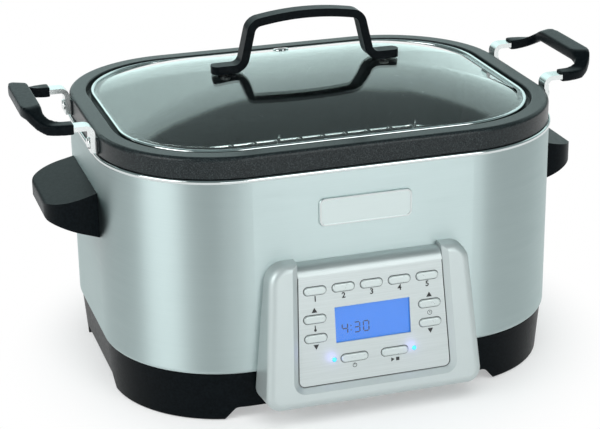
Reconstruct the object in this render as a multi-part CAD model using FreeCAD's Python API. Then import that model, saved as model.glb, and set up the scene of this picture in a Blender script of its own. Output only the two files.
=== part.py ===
"""An oval programmable slow cooker with a lift-out pan, wire rack and glass lid. Millimetres.

The cooker is drawn about the middle of its body: +X to its right, +Y to its back, +Z up, with the table
at Z = 0. All shells follow one plan outline, a rounded rectangle, at different offsets from it.
"""
import FreeCAD, Part
import math
import os

V = FreeCAD.Vector

# Body
BODY_LENGTH = 380.0
BODY_DEPTH = 296.0
BODY_CORNER = 100.0
BASE_HEIGHT = 41.7
SHELL_HEIGHT = 162.3
SHELL_WALL = 0.8
SHELL_HEM_RADIUS = 4.0
SHELL_HEM_WIDTH = 8.0
SEAT_GAP = 0.3
FIT_GAP = 0.1
CUT_OVER = 1.0  # how far a cut runs past the faces it goes through
NEAR = 1e-4

# Rim trim ring on top of the shell
RING_WALL = 0.9
RING_STAND = 1.3
RING_DROP = 3.4
RING_EDGE = 1.6
RING_REACH = 13.0

# Heating well, element and tie rods
WELL_WALL = 0.8
WELL_INSET = 16.0
WELL_DRAFT = 4.0
WELL_CORNER = 18.0
WELL_LIP_RADIUS = 3.0
WELL_FLOOR_GAP = 6.0
ELEMENT_RADIUS = 3.2
ELEMENT_INSET = 72.0
ELEMENT_CORNER = 45.0
ELEMENT_ENDS_APART = 26.0
ELEMENT_END_DROP = 26.0
ELEMENT_PIN_RADIUS = 1.6
ELEMENT_PIN_LENGTH = 9.0
CLIP_WALL = 0.8
CLIP_WIDTH = 10.0
CLIP_FOOT = 8.0
CLIP_BEND = 1.2
REFLECTOR_DROP = 20.0
REFLECTOR_WALL = 0.8
REFLECTOR_INSET = 46.0
ROD_RADIUS = 2.5
ROD_COLLAR_RADIUS = 4.5
ROD_COLLAR_HEIGHT = 3.0
ROD_INSET_X = 104.0
ROD_INSET_Y = 98.0
ROD_END = 4.0
NUT_RADIUS = 4.6
NUT_HEIGHT = 3.2
SENSOR_RADIUS = 7.0
SENSOR_HEIGHT = 8.0
SENSOR_FLANGE_RADIUS = 11.0
SENSOR_FLANGE = 1.2
FUSE_RADIUS = 2.2
FUSE_LENGTH = 14.0
FUSE_LEAD_RADIUS = 0.6
FUSE_LEAD_LENGTH = 9.0
FUSE_SETBACK = 34.0

# Base, feet and bottom plate
BASE_WALL = 3.0
BASE_TOP_INSET = 1.8
BASE_FOOT_INSET = 5.2
BASE_LIP_HEIGHT = 5.5
BASE_LIP_WALL = 2.4
BASE_EDGE = 1.0
BASE_TOE_RADIUS = 0.8
FOOT_FRONT_LENGTH = 75.0
FOOT_SIDE_LENGTH = 90.0
ARCH_HEIGHT = 11.5
ARCH_SLOPE = 9.0
ARCH_RADIUS = 6.0
ARCH_TOE_DROP = 5.0
LEDGE_WIDTH = 7.0
LEDGE_WALL = 2.5
LEDGE_HEIGHT = 13.0
PLATE_WALL = 1.0
PLATE_GAP = 0.4
VENT_LENGTH = 50.0
VENT_WIDTH = 4.0
VENT_SPACING = 11.0
VENTS_PER_SIDE = 4
VENT_SETBACK = 22.0
PAD_RADIUS = 9.5
PAD_HEIGHT = 2.4
PAD_PLUG_RADIUS = 4.0
PAD_PLUG_HEIGHT = 6.0
PAD_BOSS_RADIUS = 11.0

# Cord gland in the back of the base
GLAND_X = 70.0
GLAND_HEIGHT = 26.0
GLAND_BORE = 4.0
GLAND_BODY_RADIUS = 6.5
GLAND_FLANGE_RADIUS = 8.5
GLAND_FLANGE = 2.4
GLAND_TAIL = 3.0

# Electronics in the base
BOARD_LENGTH = 124.0
BOARD_DEPTH = 84.0
BOARD_WALL = 1.6
BOARD_FRONT_INSET = 44.0
STANDOFF_HEIGHT = 10.0
STANDOFF_RADIUS = 3.2
STANDOFF_PIN_RADIUS = 1.5
STANDOFF_INSET = 5.0
RELAY_SIZE = (20.0, 16.0, 16.0)
RELAY_PLACE = (-38.0, 14.0)
CAPACITOR_RADIUS = 8.0
CAPACITOR_HEIGHT = 18.0
CAPACITOR_PLACE = (-8.0, 16.0)
TERMINAL_SIZE = (34.0, 12.0, 14.0)
TERMINAL_PLACE = (36.0, 22.0)
LEAD_RADIUS = 1.5
LEAD_BEND = 9.0
LEADS_APART = 16.0
LEAD_STAGGER = 3.0
RIBBON_WIDTH = 24.0
RIBBON_WALL = 1.2
RIBBON_BEND = 14.0
RIBBON_HEIGHT = 64.0
RIBBON_LANDING = 12.0

# Side carrying handles
HANDLE_OVERHANG = 1.0
HANDLE_REACH = 40.0
HANDLE_DROP = 34.5
HANDLE_ROOT_HEIGHT = 37.5
HANDLE_TIP_DROP = 10.0
HANDLE_TIP_HEIGHT = 13.5
HANDLE_CORNER = 27.0
HANDLE_CORNER_SHARE = 0.9  # of the half width, the most that a corner takes
HANDLE_FLARE = 2.0
HANDLE_TIP_RADIUS = 4.0
HANDLE_WALL = 3.2
HANDLE_BOSS_RADIUS = 5.0
HANDLE_SCREW_INSET = 18.0
SCREW_RADIUS = 2.0
SCREW_HEAD_RADIUS = 3.6
SCREW_HEAD_HEIGHT = 2.2
SCREW_GRIP = 10.0
SCREW_HOLE_GAP = 0.3
SLOT_WIDTH = 0.9
SLOT_DEPTH = 0.9

# Nameplate
NAMEPLATE_LENGTH = 76.0
NAMEPLATE_HEIGHT = 23.2
NAMEPLATE_WALL = 1.6
NAMEPLATE_CORNER = 5.0
NAMEPLATE_BEVEL = 1.1
NAMEPLATE_DROP = 34.5

# Control panel: the faceplate leans back by the tilt, and the frame stands proud round it.
# The tilt and the frame's draft are in degrees.
PANEL_TILT = 8.0
PANEL_HEIGHT = 83.0
PANEL_STANDOFF = 17.4
FACEPLATE_WALL = 1.4
FACEPLATE_BOTTOM = 35.0
FACEPLATE_TOP = 131.0
FACEPLATE_TOP_WIDTH = 118.0
FACEPLATE_SPREAD = 8.4
FACEPLATE_CORNER = 5.0
FACEPLATE_BEND = 10.0
FACEPLATE_GAP = 0.4
FRAME_BOTTOM = 17.5
FRAME_TOP = 134.0
FRAME_TOP_SIDE = 23.0
FRAME_BOTTOM_SIDE = 29.3
FRAME_BOTTOM_CORNER = 12.0
FRAME_TOP_CORNER = 16.0
FRAME_DRAFT = 5.0
FRAME_RAISE = 3.0
FRAME_EDGE = 7.0
FRAME_BEVEL = 5.0
CAVITY_MARGIN = 0.8
CAVITY_BOTTOM = -45.0
CAVITY_TOP = 38.0
WINDOW_WIDTH = 90.0
WINDOW_BOTTOM = 50.0
WINDOW_TOP = 96.0
FRAME_SCREW_INSET = 9.0
FRAME_SCREW_LIFTS = (14.0, 68.0)

# Keys, display and lamps, in the panel's own plane about its middle
KEY_HEIGHT = 6.4
LOWER_KEY_WIDTH = 22.0
KEY_STAND = 1.6
KEY_EDGE = 1.1
KEY_GAP = 0.35
KEY_FLANGE = 1.0
KEY_FLANGE_WALL = 0.9
KEY_STEM_RADIUS = 1.5
KEY_STEM = 0.5
KEY_TRAVEL = 0.8
KEY_SWITCH_GAP = 0.1
SWITCH_SIZE = 6.0
SWITCH_HEIGHT = 2.7
MODE_KEYS = 5
MODE_ROW = 28.3
MODE_KEYS_APART = 5.1
MODE_MARGIN = 1.25
SIDE_KEYS_SHIFT = 1.2
SIDE_UPPER_ROW = 5.6
SIDE_LOWER_ROW = -9.9
LOWER_KEYS_X = 16.7
LOWER_ROW = -29.3
LAMP_X = 33.2
LAMP_RADIUS = 1.5
LAMP_STAND = 0.5
LAMP_SEAT_RADIUS = 2.2
LAMP_SEAT_HEIGHT = 1.2
DISPLAY_WIDTH = 62.0
DISPLAY_HEIGHT = 28.9
DISPLAY_ROW = -1.75
LENS_MARGIN = 2.2
LENS_WALL = 1.0
PANEL_BOARD_INSET = 3.0
PANEL_BOARD_BOTTOM = -42.0
PANEL_BOARD_TOP = 34.0
PANEL_POSTS = ((53.2, 18.0), (50.0, -38.0))
POST_RADIUS = 2.5
BOARD_SCREW_RADIUS = 1.1
BOARD_SCREW_HEAD_RADIUS = 2.1
BOARD_SCREW_HEAD_HEIGHT = 1.4
BOARD_SCREW_GRIP = 3.6

# Cooking pan
PAN_INSET = 0.75
PAN_BAND = 17.0
PAN_WALL = 3.2
PAN_FLANGE_WIDTH = 14.2
PAN_EDGE = 3.2
PAN_RECESS = 6.5
PAN_WALL_INSET = 24.6
PAN_DRAFT = 6.4
PAN_DEPTH = 100.0
PAN_FLOOR_WALL = 3.5
PAN_CORNER = 16.0
PAN_HEM_RADIUS = 0.6
PAN_STEP_RADIUS = 1.2
PAN_SEAT_RADIUS = 1.5
LUG_WIDTH = 17.0
LUG_LIFT = 1.2
LUG_HEIGHT = 13.5
LUG_STAND = 1.3
LUG_CORNER = 3.0

# Pan handles
STRAP_OVERHANG = 4.5
STRAP_WIDTH = 12.0
STRAP_WALL = 4.0
STRAP_LIFT = 1.0
STRAP_BEND = 3.5
STRAP_END = 22.0
RIVET_LIFT = 8.0
RIVET_RADIUS = 2.2
RIVET_HEAD_RADIUS = 4.6
RIVET_HEAD = 1.8
RIVET_ROUND = 1.6
RIVET_TAIL = 1.2
RIVET_TAIL_RADIUS = 3.4
GRIP_START = 16.0
GRIP_END = 53.5
GRIP_BAR_INNER = 37.0
GRIP_LIFT = 1.7
GRIP_ARM_HEIGHT = 8.4
GRIP_BAR_LIFT = 9.5
GRIP_BAR_HEIGHT = 9.5
GRIP_ARM_WIDTH = 13.5
GRIP_OUTER_CORNER = 33.0
GRIP_INNER_CORNER = 8.0
GRIP_SLOPE_RUN = 20.0
GRIP_SLOPE_SKEW = 0.5
GRIP_SWEEP = 13.0

# Lid
LID_RIM_INSET = 18.8
LID_RIM_WIDTH = 5.4
LID_RIM_WALL = 0.8
LID_RIM_EDGE = 1.6
LID_RIM_TOE = 1.0
GLASS_WALL = 4.0
GLASS_EDGE_WIDTH = 16.5
GLASS_RISE = 23.0
GLASS_SHOULDER_WIDTH = 30.6
GLASS_CROWN_FLAT = 8.0
GLASS_EDGE_RADIUS = 6.0
GLASS_EDGE_ROUND = 0.8
LID_HANDLE_WIDTH = 13.0
LID_HANDLE_WALL = 6.8
LID_HANDLE_FOOT_END = 81.0
LID_HANDLE_LEG_FOOT = 52.6
LID_HANDLE_LEG_TOP = 43.9
LID_HANDLE_SHOULDER = 37.0
LID_HANDLE_CROWN = 44.2
LID_HANDLE_FOOT_BEND = 6.5
LID_HANDLE_TOP_BEND = 6.5
LID_HANDLE_CROWN_RADIUS = 220.0
LID_HANDLE_TIP_RADIUS = 5.0
LID_SCREW_X = 69.0
LID_SCREW_RADIUS = 2.2
LID_SCREW_GRIP = 4.5
LID_SCREW_HEAD_RADIUS = 4.0
LID_SCREW_HEAD = 2.4
LID_HOLE_RADIUS = 3.0
WASHER_RADIUS = 6.0
WASHER_WALL = 1.2
STEAM_TILT = 12.0  # degrees back from upright
STEAM_HOLE_RADIUS = 4.0
STEAM_BORE = 2.2
STEAM_FLANGE_RADIUS = 7.0
STEAM_FLANGE = 1.5
STEAM_ROUND = 1.2
STEAM_BODY_RADIUS = 3.7

# Wire rack in the pan
RACK_INSET_X = 42.0
RACK_INSET_Y = 55.0
RACK_CORNER_INSET = 75.0
RACK_FRAME_RADIUS = 1.7
RACK_WIRE_RADIUS = 1.2
RACK_HEIGHT = 26.0
RACK_WIRES = 13
RACK_WIRE_MARGIN = 19.6
RACK_LEG_MARGIN = 16.0
RACK_LEG_BEND = 8.0
RACK_POST = 7.0

# Places worked out from the sizes above
HALF_LENGTH = BODY_LENGTH / 2
HALF_DEPTH = BODY_DEPTH / 2
SIDE_FLAT = HALF_DEPTH - BODY_CORNER
FRONT_FLAT = HALF_LENGTH - BODY_CORNER
RACK_CORNER = BODY_CORNER - RACK_CORNER_INSET
FACEPLATE_BOTTOM_WIDTH = FACEPLATE_TOP_WIDTH + FACEPLATE_SPREAD
FRAME_TOP_WIDTH = FACEPLATE_TOP_WIDTH + 2 * FRAME_TOP_SIDE
FRAME_BOTTOM_WIDTH = FACEPLATE_BOTTOM_WIDTH + 2 * FRAME_BOTTOM_SIDE
FRAME_SCREW_X = FRAME_TOP_WIDTH / 2 - FRAME_SCREW_INSET
PANEL_BOARD_WIDTH = FACEPLATE_TOP_WIDTH - 2 * PANEL_BOARD_INSET
MODE_SPACING = (FACEPLATE_TOP_WIDTH - 2 * MODE_MARGIN) / MODE_KEYS
KEY_WIDTH = MODE_SPACING - MODE_KEYS_APART
SIDE_KEYS_X = MODE_SPACING * (MODE_KEYS - 1) / 2 + SIDE_KEYS_SHIFT
RIM_TOP = BASE_HEIGHT + SHELL_HEIGHT
HANDLE_HALF_WIDTH = SIDE_FLAT + HANDLE_OVERHANG
HANDLE_ROOT_TOP = RIM_TOP - HANDLE_DROP
HANDLE_ROOT_BOTTOM = HANDLE_ROOT_TOP - HANDLE_ROOT_HEIGHT
HANDLE_TIP_TOP = HANDLE_ROOT_TOP - HANDLE_TIP_DROP
HANDLE_TIP_BOTTOM = HANDLE_TIP_TOP - HANDLE_TIP_HEIGHT
PAN_BOTTOM_EDGE = RIM_TOP + SEAT_GAP
PAN_TOP = PAN_BOTTOM_EDGE + PAN_BAND
PAN_SEAT = PAN_TOP - PAN_RECESS
PAN_FLOOR = PAN_TOP - PAN_DEPTH
WELL_FLOOR = PAN_FLOOR - PAN_FLOOR_WALL - WELL_FLOOR_GAP
WELL_UNDERSIDE = WELL_FLOOR - WELL_WALL
REFLECTOR_TOP = WELL_UNDERSIDE - REFLECTOR_DROP
PLATE_BOTTOM = LEDGE_HEIGHT - PLATE_WALL
BOARD_TOP = LEDGE_HEIGHT + STANDOFF_HEIGHT + BOARD_WALL
BOARD_CENTRE_Y = -HALF_DEPTH + BOARD_FRONT_INSET + BOARD_DEPTH / 2
PANEL_BOARD_FRONT = -(FACEPLATE_WALL + SEAT_GAP + KEY_FLANGE_WALL + KEY_STEM + KEY_TRAVEL
                      + KEY_SWITCH_GAP + SWITCH_HEIGHT)
PANEL_BOARD_BACK = PANEL_BOARD_FRONT - BOARD_WALL
LUG_BOTTOM = PAN_BOTTOM_EDGE + LUG_LIFT
LUG_TOP = LUG_BOTTOM + LUG_HEIGHT
STRAP_BOTTOM = LUG_BOTTOM + STRAP_LIFT
STRAP_Y = SIDE_FLAT + STRAP_OVERHANG
RIVET_LEVEL = LUG_BOTTOM + RIVET_LIFT
GRIP_ARM_BOTTOM = PAN_TOP + GRIP_LIFT
GRIP_ARM_TOP = GRIP_ARM_BOTTOM + GRIP_ARM_HEIGHT
GRIP_BAR_BOTTOM = GRIP_ARM_BOTTOM + GRIP_BAR_LIFT
GRIP_BAR_TOP = GRIP_BAR_BOTTOM + GRIP_BAR_HEIGHT
GLASS_EDGE_BOTTOM = PAN_SEAT + SEAT_GAP + LID_RIM_WALL + FIT_GAP
GLASS_EDGE_TOP = GLASS_EDGE_BOTTOM + GLASS_WALL
GLASS_TOP = GLASS_EDGE_TOP + GLASS_RISE
UP = V(0, 0, 1)


# Drawing helpers

def flat_at(z):
    return lambda x, y: V(x, y, z)


def upright_at(y):
    return lambda x, z: V(x, y, z)


def side_at(x):
    return lambda y, z: V(x, y, z)


def rounded_corner(before, corner, after, radius):
    """Start, middle and end of the arc that rounds a corner."""
    if radius == 0:
        return corner, None, corner
    back = (before - corner).normalize()
    ahead = (after - corner).normalize()
    half_turn = back.getAngle(ahead) / 2
    inward = (back + ahead).normalize()
    centre = corner + inward * (radius / math.sin(half_turn))
    reach = radius / math.tan(half_turn)
    return corner + back * reach, centre - inward * radius, corner + ahead * reach


def rounded_wire(points, radii, closed=True):
    """Straight runs through the points, with an arc of the given radius at each corner."""
    count = len(points)
    arcs = []
    for i, point in enumerate(points):
        is_end = not closed and i in (0, count - 1)
        radius = 0 if is_end else radii[i]
        arcs.append(rounded_corner(points[i - 1], point, points[(i + 1) % count], radius))
    edges = []
    for i, (start, middle, end) in enumerate(arcs):
        if middle:
            edges.append(Part.Arc(start, middle, end).toShape())
        if i == count - 1 and not closed:
            break
        following = arcs[(i + 1) % count][0]
        if end.distanceToPoint(following) > NEAR:
            edges.append(Part.makeLine(end, following))
    return Part.Wire(edges)


def outline(corners, place):
    """A flat face from (a, b) or (a, b, radius) corners."""
    points = [place(corner[0], corner[1]) for corner in corners]
    radii = [corner[2] if len(corner) > 2 else 0 for corner in corners]
    return Part.Face(rounded_wire(points, radii))


def prism(corners, place, direction):
    return outline(corners, place).extrude(direction)


def strip(path, wall):
    """Corners of a bent strip: an open path of (a, b, radius) and its copy set off to the left."""
    copy = []
    for i, corner in enumerate(path):
        here = V(corner[0], corner[1], 0)
        legs = []
        if i > 0:
            legs.append((here - V(path[i - 1][0], path[i - 1][1], 0)).normalize())
        if i < len(path) - 1:
            legs.append((V(path[i + 1][0], path[i + 1][1], 0) - here).normalize())
        normals = [V(-leg.y, leg.x, 0) for leg in legs]
        mitre = (normals[0] + normals[-1]) * (wall / (1 + normals[0].dot(normals[-1])))
        radius = 0
        if len(corner) > 2:
            turns_left = legs[0].cross(legs[-1]).z > 0
            radius = corner[2] - wall if turns_left else corner[2] + wall
        copy.append((here.x + mitre.x, here.y + mitre.y, radius))
    return list(path) + copy[::-1]


def tube(points, radius, bend):
    """A round bar along straight runs joined by tangent arcs."""
    wire = rounded_wire(points, [bend] * len(points), closed=False)
    start = Part.makeCircle(radius, points[0], points[1] - points[0])
    return wire.makePipeShell([Part.Wire(start)], True, False)


def rectangle(half_a, half_b, radius=0):
    return [(sa * half_a, sb * half_b, radius) for sa, sb in ((-1, -1), (1, -1), (1, 1), (-1, 1))]


def plan_prism(offset, bottom, top):
    """A block on the body's plan, grown outwards by the offset."""
    corners = rectangle(HALF_LENGTH + offset, HALF_DEPTH + offset, BODY_CORNER + offset)
    return prism(corners, flat_at(bottom), UP * (top - bottom))


def around_body(corners, floor=None):
    """Sweeps an (outward offset, height) profile round the body's plan.

    A profile that reaches the corner centres is closed there by a flat floor between two heights.
    """
    pieces = []
    for turn, (sx, sy) in enumerate(((1, 1), (-1, 1), (-1, -1), (1, -1))):
        centre = V(sx * FRONT_FLAT, sy * SIDE_FLAT, 0)
        face = outline(corners, lambda u, z: V(centre.x + BODY_CORNER + u, centre.y, z))
        face.rotate(centre, UP, 90 * turn)
        pieces.append(face.revolve(centre, UP, 90))
        along = V(-sx, 0, 0) if turn % 2 == 0 else V(0, -sy, 0)
        run = FRONT_FLAT if turn % 2 == 0 else SIDE_FLAT
        face.rotate(centre, UP, 90)
        pieces.append(face.extrude(along * 2 * run))
    if floor:
        low, high = floor
        corner = V(-FRONT_FLAT, -SIDE_FLAT, low)
        pieces.append(Part.makeBox(2 * FRONT_FLAT, 2 * SIDE_FLAT, high - low, corner))
    return pieces[0].multiFuse(pieces[1:]).removeSplitter()


def rod(start, direction, radius, length):
    return Part.makeCylinder(radius, length, start, direction)


def block(size, centre, bottom):
    corner = V(centre[0] - size[0] / 2, centre[1] - size[1] / 2, bottom)
    return Part.makeBox(size[0], size[1], size[2], corner)


def slotted_screw(seat, direction, radius, length, head_radius, head_height):
    """A screw whose head lies under its seat, against the direction of its shank."""
    head = rod(seat - direction * head_height, direction, head_radius, head_height)
    across = V(1, 0, 0) if abs(direction.x) < 0.5 else V(0, 1, 0)
    slot = Part.makeBox(2 * head_radius, SLOT_WIDTH, SLOT_DEPTH, V(-head_radius, -SLOT_WIDTH / 2, 0))
    slot.Placement = FreeCAD.Placement(seat - direction * head_height,
                                       FreeCAD.Rotation(across, direction.cross(across), direction))
    return head.cut(slot).fuse(rod(seat, direction, radius, length)).removeSplitter()


def corners_of(half_x, half_y):
    return [(sx * half_x, sy * half_y) for sx in (-1, 1) for sy in (-1, 1)]


PANEL_PLACE = FreeCAD.Placement(V(0, -HALF_DEPTH - PANEL_STANDOFF, PANEL_HEIGHT),
                                FreeCAD.Rotation(V(1, 0, 0), 90 - PANEL_TILT))


def on_panel(shape):
    """Moves a shape drawn about the panel's middle, with +Z out of the panel, to its place."""
    return shape.transformed(PANEL_PLACE.toMatrix())


def panel_face_y(z):
    """Where the faceplate's flat front lies at a height."""
    return -HALF_DEPTH - PANEL_STANDOFF + math.tan(math.radians(PANEL_TILT)) * (z - PANEL_HEIGHT)


# Outer shell, trim ring and heating well

def handle_screw_seats():
    height = (HANDLE_ROOT_BOTTOM + HANDLE_ROOT_TOP) / 2
    spread = SIDE_FLAT - HANDLE_SCREW_INSET
    return [(side, V(side * (HALF_LENGTH - SHELL_WALL), y, height))
            for side in (-1, 1) for y in (-spread, spread)]


def frame_screw_seats():
    past_flat = max(0.0, FRAME_SCREW_X + SCREW_HEAD_RADIUS - FRONT_FLAT)
    front = SIDE_FLAT + math.sqrt(BODY_CORNER ** 2 - past_flat ** 2)
    return [V(x, SHELL_WALL - front, BASE_HEIGHT + lift)
            for x in (-FRAME_SCREW_X, FRAME_SCREW_X) for lift in FRAME_SCREW_LIFTS]


def shell_screw(seat, direction):
    """A screw from inside the shell, out into a moulding on it."""
    return slotted_screw(seat, direction, SCREW_RADIUS, SHELL_WALL + SCREW_GRIP,
                         SCREW_HEAD_RADIUS, SCREW_HEAD_HEIGHT)


def outer_shell():
    """A wrapped steel band, hemmed inwards at its foot, with a window behind the control panel."""
    top = RIM_TOP - RING_WALL - FIT_GAP
    shell = around_body([
        (0, top), (0, BASE_HEIGHT, SHELL_HEM_RADIUS), (-SHELL_HEM_WIDTH, BASE_HEIGHT),
        (-SHELL_HEM_WIDTH, BASE_HEIGHT + SHELL_WALL),
        (-SHELL_WALL, BASE_HEIGHT + SHELL_WALL, SHELL_HEM_RADIUS - SHELL_WALL), (-SHELL_WALL, top)])
    window = [(-WINDOW_WIDTH / 2, WINDOW_BOTTOM), (WINDOW_WIDTH / 2, WINDOW_BOTTOM),
              (WINDOW_WIDTH / 2, WINDOW_TOP), (-WINDOW_WIDTH / 2, WINDOW_TOP)]
    through = SHELL_WALL + 2 * CUT_OVER
    holes = [prism(window, upright_at(-HALF_DEPTH - CUT_OVER), V(0, through, 0))]
    hole_radius = SCREW_RADIUS + SCREW_HOLE_GAP
    for side, seat in handle_screw_seats():
        out = V(side, 0, 0)
        holes.append(rod(seat - out * CUT_OVER, out, hole_radius, through))
    for seat in frame_screw_seats():
        holes.append(rod(seat + V(0, CUT_OVER, 0), V(0, -1, 0), hole_radius, through))
    return shell.cut(Part.makeCompound(holes))


def rim_trim_ring():
    """A rolled steel ring that caps the shell's top edge and carries the pan."""
    low = RIM_TOP - RING_DROP
    return around_body([
        (RING_STAND, low, RING_EDGE / 2), (RING_STAND, RIM_TOP, RING_EDGE), (-RING_REACH, RIM_TOP),
        (-RING_REACH, RIM_TOP - RING_WALL), (FIT_GAP, RIM_TOP - RING_WALL), (FIT_GAP, low)])


def heating_well():
    """The deep-drawn inner vessel, hung by its flange under the trim ring."""
    top = RIM_TOP - RING_WALL
    wall_foot = WELL_INSET + WELL_DRAFT
    flange_edge = -SHELL_WALL - SEAT_GAP
    return around_body([
        (flange_edge, top), (-WELL_INSET, top, WELL_LIP_RADIUS), (-wall_foot, WELL_FLOOR, WELL_CORNER),
        (-BODY_CORNER, WELL_FLOOR), (-BODY_CORNER, WELL_UNDERSIDE),
        (-wall_foot + WELL_WALL, WELL_UNDERSIDE, WELL_CORNER + WELL_WALL),
        (-WELL_INSET + WELL_WALL, top - WELL_WALL, WELL_LIP_RADIUS - WELL_WALL),
        (flange_edge, top - WELL_WALL)],
        floor=(WELL_UNDERSIDE, WELL_FLOOR))


# Heating element, reflector, rods and sensors, all hung under the well

ELEMENT_HALF_X = HALF_LENGTH - ELEMENT_INSET
ELEMENT_HALF_Y = HALF_DEPTH - ELEMENT_INSET
ELEMENT_LEVEL = WELL_UNDERSIDE - FIT_GAP - ELEMENT_RADIUS
ROD_PLACES = corners_of(HALF_LENGTH - ROD_INSET_X, HALF_DEPTH - ROD_INSET_Y)


def element_end(side):
    return V(side * ELEMENT_ENDS_APART / 2, ELEMENT_HALF_Y, ELEMENT_LEVEL - ELEMENT_END_DROP)


def heating_element():
    """One sheathed loop under the well, its two ends turned down, with a bare pin in each end."""
    bend = 3 * ELEMENT_RADIUS
    loop = [(-ELEMENT_HALF_X, ELEMENT_HALF_Y), (-ELEMENT_HALF_X, -ELEMENT_HALF_Y),
            (ELEMENT_HALF_X, -ELEMENT_HALF_Y), (ELEMENT_HALF_X, ELEMENT_HALF_Y)]
    end_lift = UP * ELEMENT_END_DROP
    points = [element_end(-1), element_end(-1) + end_lift]
    points += [V(x, y, ELEMENT_LEVEL) for x, y in loop]
    points += [element_end(1) + end_lift, element_end(1)]
    radii = [0, bend] + [ELEMENT_CORNER] * 4 + [bend, 0]
    wire = rounded_wire(points, radii, closed=False)
    sheath = wire.makePipeShell([Part.Wire(Part.makeCircle(ELEMENT_RADIUS, points[0], UP))], True, False)
    pins = [rod(element_end(side), -UP, ELEMENT_PIN_RADIUS, ELEMENT_PIN_LENGTH) for side in (-1, 1)]
    return sheath.multiFuse(pins)


def element_clips():
    """Spring-steel clips, welded by their feet to the well, that hold the loop up against it."""
    half = ELEMENT_RADIUS + FIT_GAP
    depth = 2 * ELEMENT_RADIUS + 2 * FIT_GAP
    path = [(half + CLIP_FOOT, 0), (half, 0, CLIP_BEND), (half, -depth, CLIP_BEND),
            (-half, -depth, CLIP_BEND), (-half, 0, CLIP_BEND), (-half - CLIP_FOOT, 0)]
    section = strip(path, CLIP_WALL)
    clips = []
    for x in (-ELEMENT_HALF_X, ELEMENT_HALF_X):
        corner = V(x, -CLIP_WIDTH / 2, WELL_UNDERSIDE)
        clips.append(prism(section, lambda a, b: corner + V(a, 0, b), V(0, CLIP_WIDTH, 0)))
    for x in (-ELEMENT_HALF_X / 2, ELEMENT_HALF_X / 2):
        corner = V(x - CLIP_WIDTH / 2, -ELEMENT_HALF_Y, WELL_UNDERSIDE)
        clips.append(prism(section, lambda a, b: corner + V(0, -a, b), V(CLIP_WIDTH, 0, 0)))
    return Part.makeCompound(clips)


def heat_reflector():
    """A bright sheet on the rods' collars that keeps the heat out of the base."""
    bottom = REFLECTOR_TOP - REFLECTOR_WALL
    sheet = plan_prism(-REFLECTOR_INSET, bottom, REFLECTOR_TOP)
    low = bottom - CUT_OVER
    through = REFLECTOR_WALL + 2 * CUT_OVER
    holes = [rod(V(x, y, low), UP, ROD_RADIUS + SEAT_GAP, through) for x, y in ROD_PLACES]
    for side in (-1, 1):
        end = element_end(side)
        holes.append(rod(V(end.x, end.y, low), UP, 2 * ELEMENT_RADIUS, through))
    return sheet.cut(Part.makeCompound(holes))


def tie_rods():
    """Studs welded under the well: they carry the reflector and clamp well, shell and base together."""
    bottom = PLATE_BOTTOM - NUT_HEIGHT - ROD_END
    collar_top = REFLECTOR_TOP - REFLECTOR_WALL
    rods = []
    for x, y in ROD_PLACES:
        stud = rod(V(x, y, bottom), UP, ROD_RADIUS, WELL_UNDERSIDE - bottom)
        collar = rod(V(x, y, collar_top - ROD_COLLAR_HEIGHT), UP, ROD_COLLAR_RADIUS, ROD_COLLAR_HEIGHT)
        rods.append(stud.fuse(collar).removeSplitter())
    return Part.makeCompound(rods)


def tie_nuts():
    nuts = []
    for x, y in ROD_PLACES:
        turns = [math.tau * i / 6 for i in range(6)]
        hexagon = [(x + NUT_RADIUS * math.cos(turn), y + NUT_RADIUS * math.sin(turn)) for turn in turns]
        nut = prism(hexagon, flat_at(PLATE_BOTTOM - NUT_HEIGHT), UP * NUT_HEIGHT)
        nuts.append(nut.cut(rod(V(x, y, 0), UP, ROD_RADIUS + FIT_GAP / 2, PLATE_BOTTOM)))
    return Part.makeCompound(nuts)


def temperature_sensor():
    """A flanged can against the middle of the well."""
    flange = rod(V(0, 0, WELL_UNDERSIDE), -UP, SENSOR_FLANGE_RADIUS, SENSOR_FLANGE)
    return flange.fuse(rod(V(0, 0, WELL_UNDERSIDE), -UP, SENSOR_RADIUS, SENSOR_HEIGHT)).removeSplitter()


def thermal_fuse():
    """A one-shot cut-out under the well, with a wire at each end."""
    centre = V(0, FUSE_SETBACK, WELL_UNDERSIDE - SEAT_GAP - FUSE_RADIUS)
    along = V(1, 0, 0)
    lead = FUSE_LENGTH + 2 * FUSE_LEAD_LENGTH
    body = rod(centre - along * (FUSE_LENGTH / 2), along, FUSE_RADIUS, FUSE_LENGTH)
    return body.fuse(rod(centre - along * (lead / 2), along, FUSE_LEAD_RADIUS, lead)).removeSplitter()


# Base, plate, pads and cord gland

def base_outer(z):
    """Offset of the base's leaning outer face at a height."""
    return -BASE_FOOT_INSET + (BASE_FOOT_INSET - BASE_TOP_INSET) * z / BASE_HEIGHT


def pad_places():
    reach = BODY_CORNER - BASE_FOOT_INSET - BASE_WALL - SEAT_GAP - PAD_RADIUS
    diagonal = reach / math.sqrt(2)
    return corners_of(FRONT_FLAT + diagonal, SIDE_FLAT + diagonal)


def gland_axis_start():
    """Where the gland's flange rests on the back of the base."""
    lean = base_outer(GLAND_HEIGHT + GLAND_FLANGE_RADIUS)
    return V(GLAND_X, HALF_DEPTH + lean + FIT_GAP, GLAND_HEIGHT)


def arch(half):
    """The raised edge between two feet, on half of its length."""
    right = [(half + ARCH_SLOPE, BASE_EDGE - ARCH_TOE_DROP), (half, BASE_EDGE, ARCH_RADIUS),
             (half - ARCH_SLOPE, ARCH_HEIGHT, ARCH_RADIUS)]
    return [(-a, *rest) for a, *rest in right] + right[::-1]


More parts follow.
